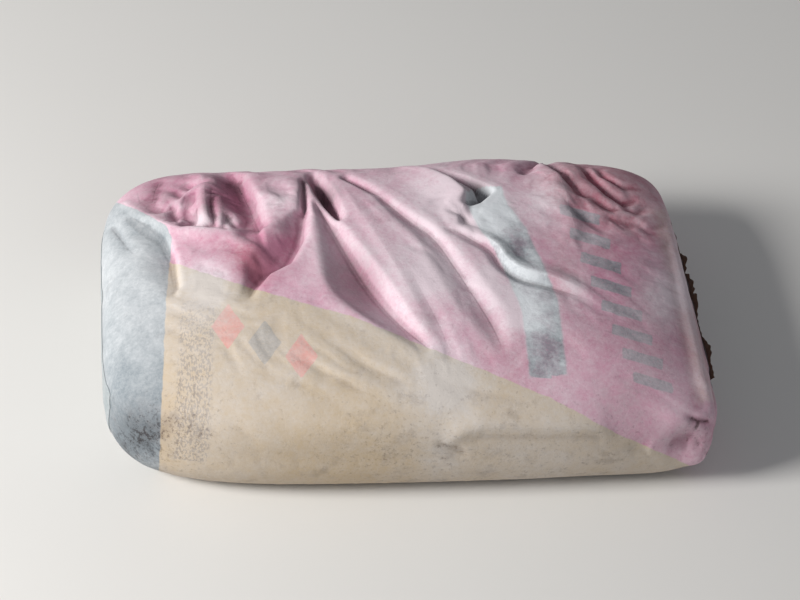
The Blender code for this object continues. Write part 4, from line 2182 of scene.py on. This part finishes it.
@dataclass
class Studio:
    """Floor, lights and camera.

    Attributes:
        view: The photograph's camera.
        zoom: How much larger than in the photograph the sack shows.
        sensor: Width of the camera's sensor, in mm.
        picture_width: Width of the photograph in pixels.
        floor_reach: Half the floor's width.
    """

    view: PhotoView
    zoom: float = 1.75
    sensor: float = 36.0
    picture_width: int = 800
    floor_reach: float = 6.0

    def build(self) -> None:
        """Make everything that isn't the object."""
        self._floor()
        self._camera()
        self._light("key", (-2.6, -0.75, 1.65), 1.0, 128.0, (1.0, 0.985, 0.96))
        self._light("fill", (1.6, -2.4, 1.6), 2.4, 9.0, (0.95, 0.97, 1.0))
        world = bpy.data.worlds.new("studio")
        world.use_nodes = True
        shade = world.node_tree.nodes["Background"].inputs
        shade["Color"].default_value = (0.93, 0.95, 1.0, 1.0)
        shade["Strength"].default_value = 0.22
        bpy.context.scene.world = world
        bpy.context.scene.view_settings.view_transform = "Standard"

    def _floor(self) -> None:
        """A wide plain floor at the sack's underside."""
        corners = np.array([[-1, -1, 0], [1, -1, 0], [1, 1, 0], [-1, 1, 0]])
        floor = new_mesh("floor", corners * self.floor_reach, np.arange(4), np.array([4]))
        floor.data.materials.append(StudioFloor().material())

    def _camera(self) -> None:
        """A long lens where the photograph's camera stood."""
        data = bpy.data.cameras.new("camera")
        data.sensor_width = self.sensor
        data.lens = self.view.focal * self.zoom / self.picture_width * self.sensor
        camera = bpy.data.objects.new("camera", data)
        right, up, back = self.view.axes()
        turn = math.radians(self.view.roll)
        rolled_right = math.cos(turn) * right + math.sin(turn) * up
        rolled_up = math.cos(turn) * up - math.sin(turn) * right
        matrix = Matrix((rolled_right, rolled_up, back)).transposed().to_4x4()
        matrix.translation = Vector(self.view.eye())
        camera.matrix_world = matrix
        bpy.context.scene.collection.objects.link(camera)
        bpy.context.scene.camera = camera

    def _light(self, name: str, place: tuple, size: float, power: float, tint: tuple) -> None:
        """A square area light that faces the sack.

        Args:
            name: The light's name.
            place: Where it stands.
            size: Length of its side.
            power: Its power in watts.
            tint: Its colour.
        """
        data = bpy.data.lights.new(name, "AREA")
        data.size = size
        data.energy = power
        data.color = tint
        light = bpy.data.objects.new(name, data)
        light.location = place
        light.rotation_euler = Vector(place).to_track_quat("Z", "Y").to_euler()
        bpy.context.scene.collection.objects.link(light)


@dataclass(frozen=True)
class Stretch:
    """An upright rectangle on one of the sack's sides.

    Attributes:
        axis: The axis along which the side runs, 0 for X and 1 for Y.
        along: Where the rectangle starts and ends along that axis.
        height: Its lower and its upper edge.
    """

    axis: int
    along: Pair
    height: Pair

    def vertices(self, grid: SkinGrid, side: Array) -> Array:
        """Find its vertices.

        Args:
            grid: The sack's grid.
            side: Vertex numbers of the whole side, as a grid.

        Returns:
            Vertex numbers of the rectangle, as a grid.
        """
        middle = grid.base[side[:, side.shape[1] // 2], self.axis]
        columns = np.nonzero((middle > self.along[0]) & (middle < self.along[1]))[0]
        centre = grid.base[side[columns[len(columns) // 2]], 2]
        rows = np.nonzero((centre > self.height[0]) & (centre < self.height[1]))[0]
        return side[columns[0] : columns[-1] + 1, rows[0] : rows[-1] + 1]


COVER = Stretch(1, (-0.135, 0.135), (0.026, 0.084))
TORN_LIP = 5.0 * MM
FLAP = Stretch(0, (0.16, 0.262), (0.040, 0.078))
COVER_FINISH = PlainPaper(
    "cover_paper_finish", linear(112, 130, 138), linear(196, 196, 195), 0.45
)
FLAP_FINISH = PlainPaper("valve_paper_finish", linear(168, 134, 92), linear(205, 202, 196), 0.4)


def main() -> None:
    """Build the sack, its pasted paper and the studio."""
    logging.basicConfig(level=logging.INFO, format="%(message)s")
    low, high = (np.array(corner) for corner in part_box("filled_sack"))
    size = high - low
    sack = FilledSack(SackForm(size[0] / 2, size[1] / 2, size[2]))
    skin = sack.build()
    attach(skin, "root")
    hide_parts("filled_sack")

    for end, node in ((End.LEFT, "end_cover_left"), (End.RIGHT, "end_cover_right")):
        patch = COVER.vertices(sack.grid, sack.grid.ids[0 if end is End.LEFT else -1])
        lip = TORN_LIP if end is End.RIGHT else 0.0
        sheet = PaperSheetOnSack(f"{node}_sheet", patch, COVER_FINISH, lip=lip)
        piece = sheet.build(sack, end is End.LEFT)
        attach(piece, "root")
        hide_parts(node)
        LOG.info("%s laid", node)

    patch = FLAP.vertices(sack.grid, sack.grid.ids[:, -1])
    flap = PaperSheetOnSack("valve_flap_sheet", patch, FLAP_FINISH).build(sack, True)
    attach(flap, "root")
    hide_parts("valve_flap")
    LOG.info("valve_flap laid")

    Studio(sack.view).build()


if __name__ == "__main__":
    main()
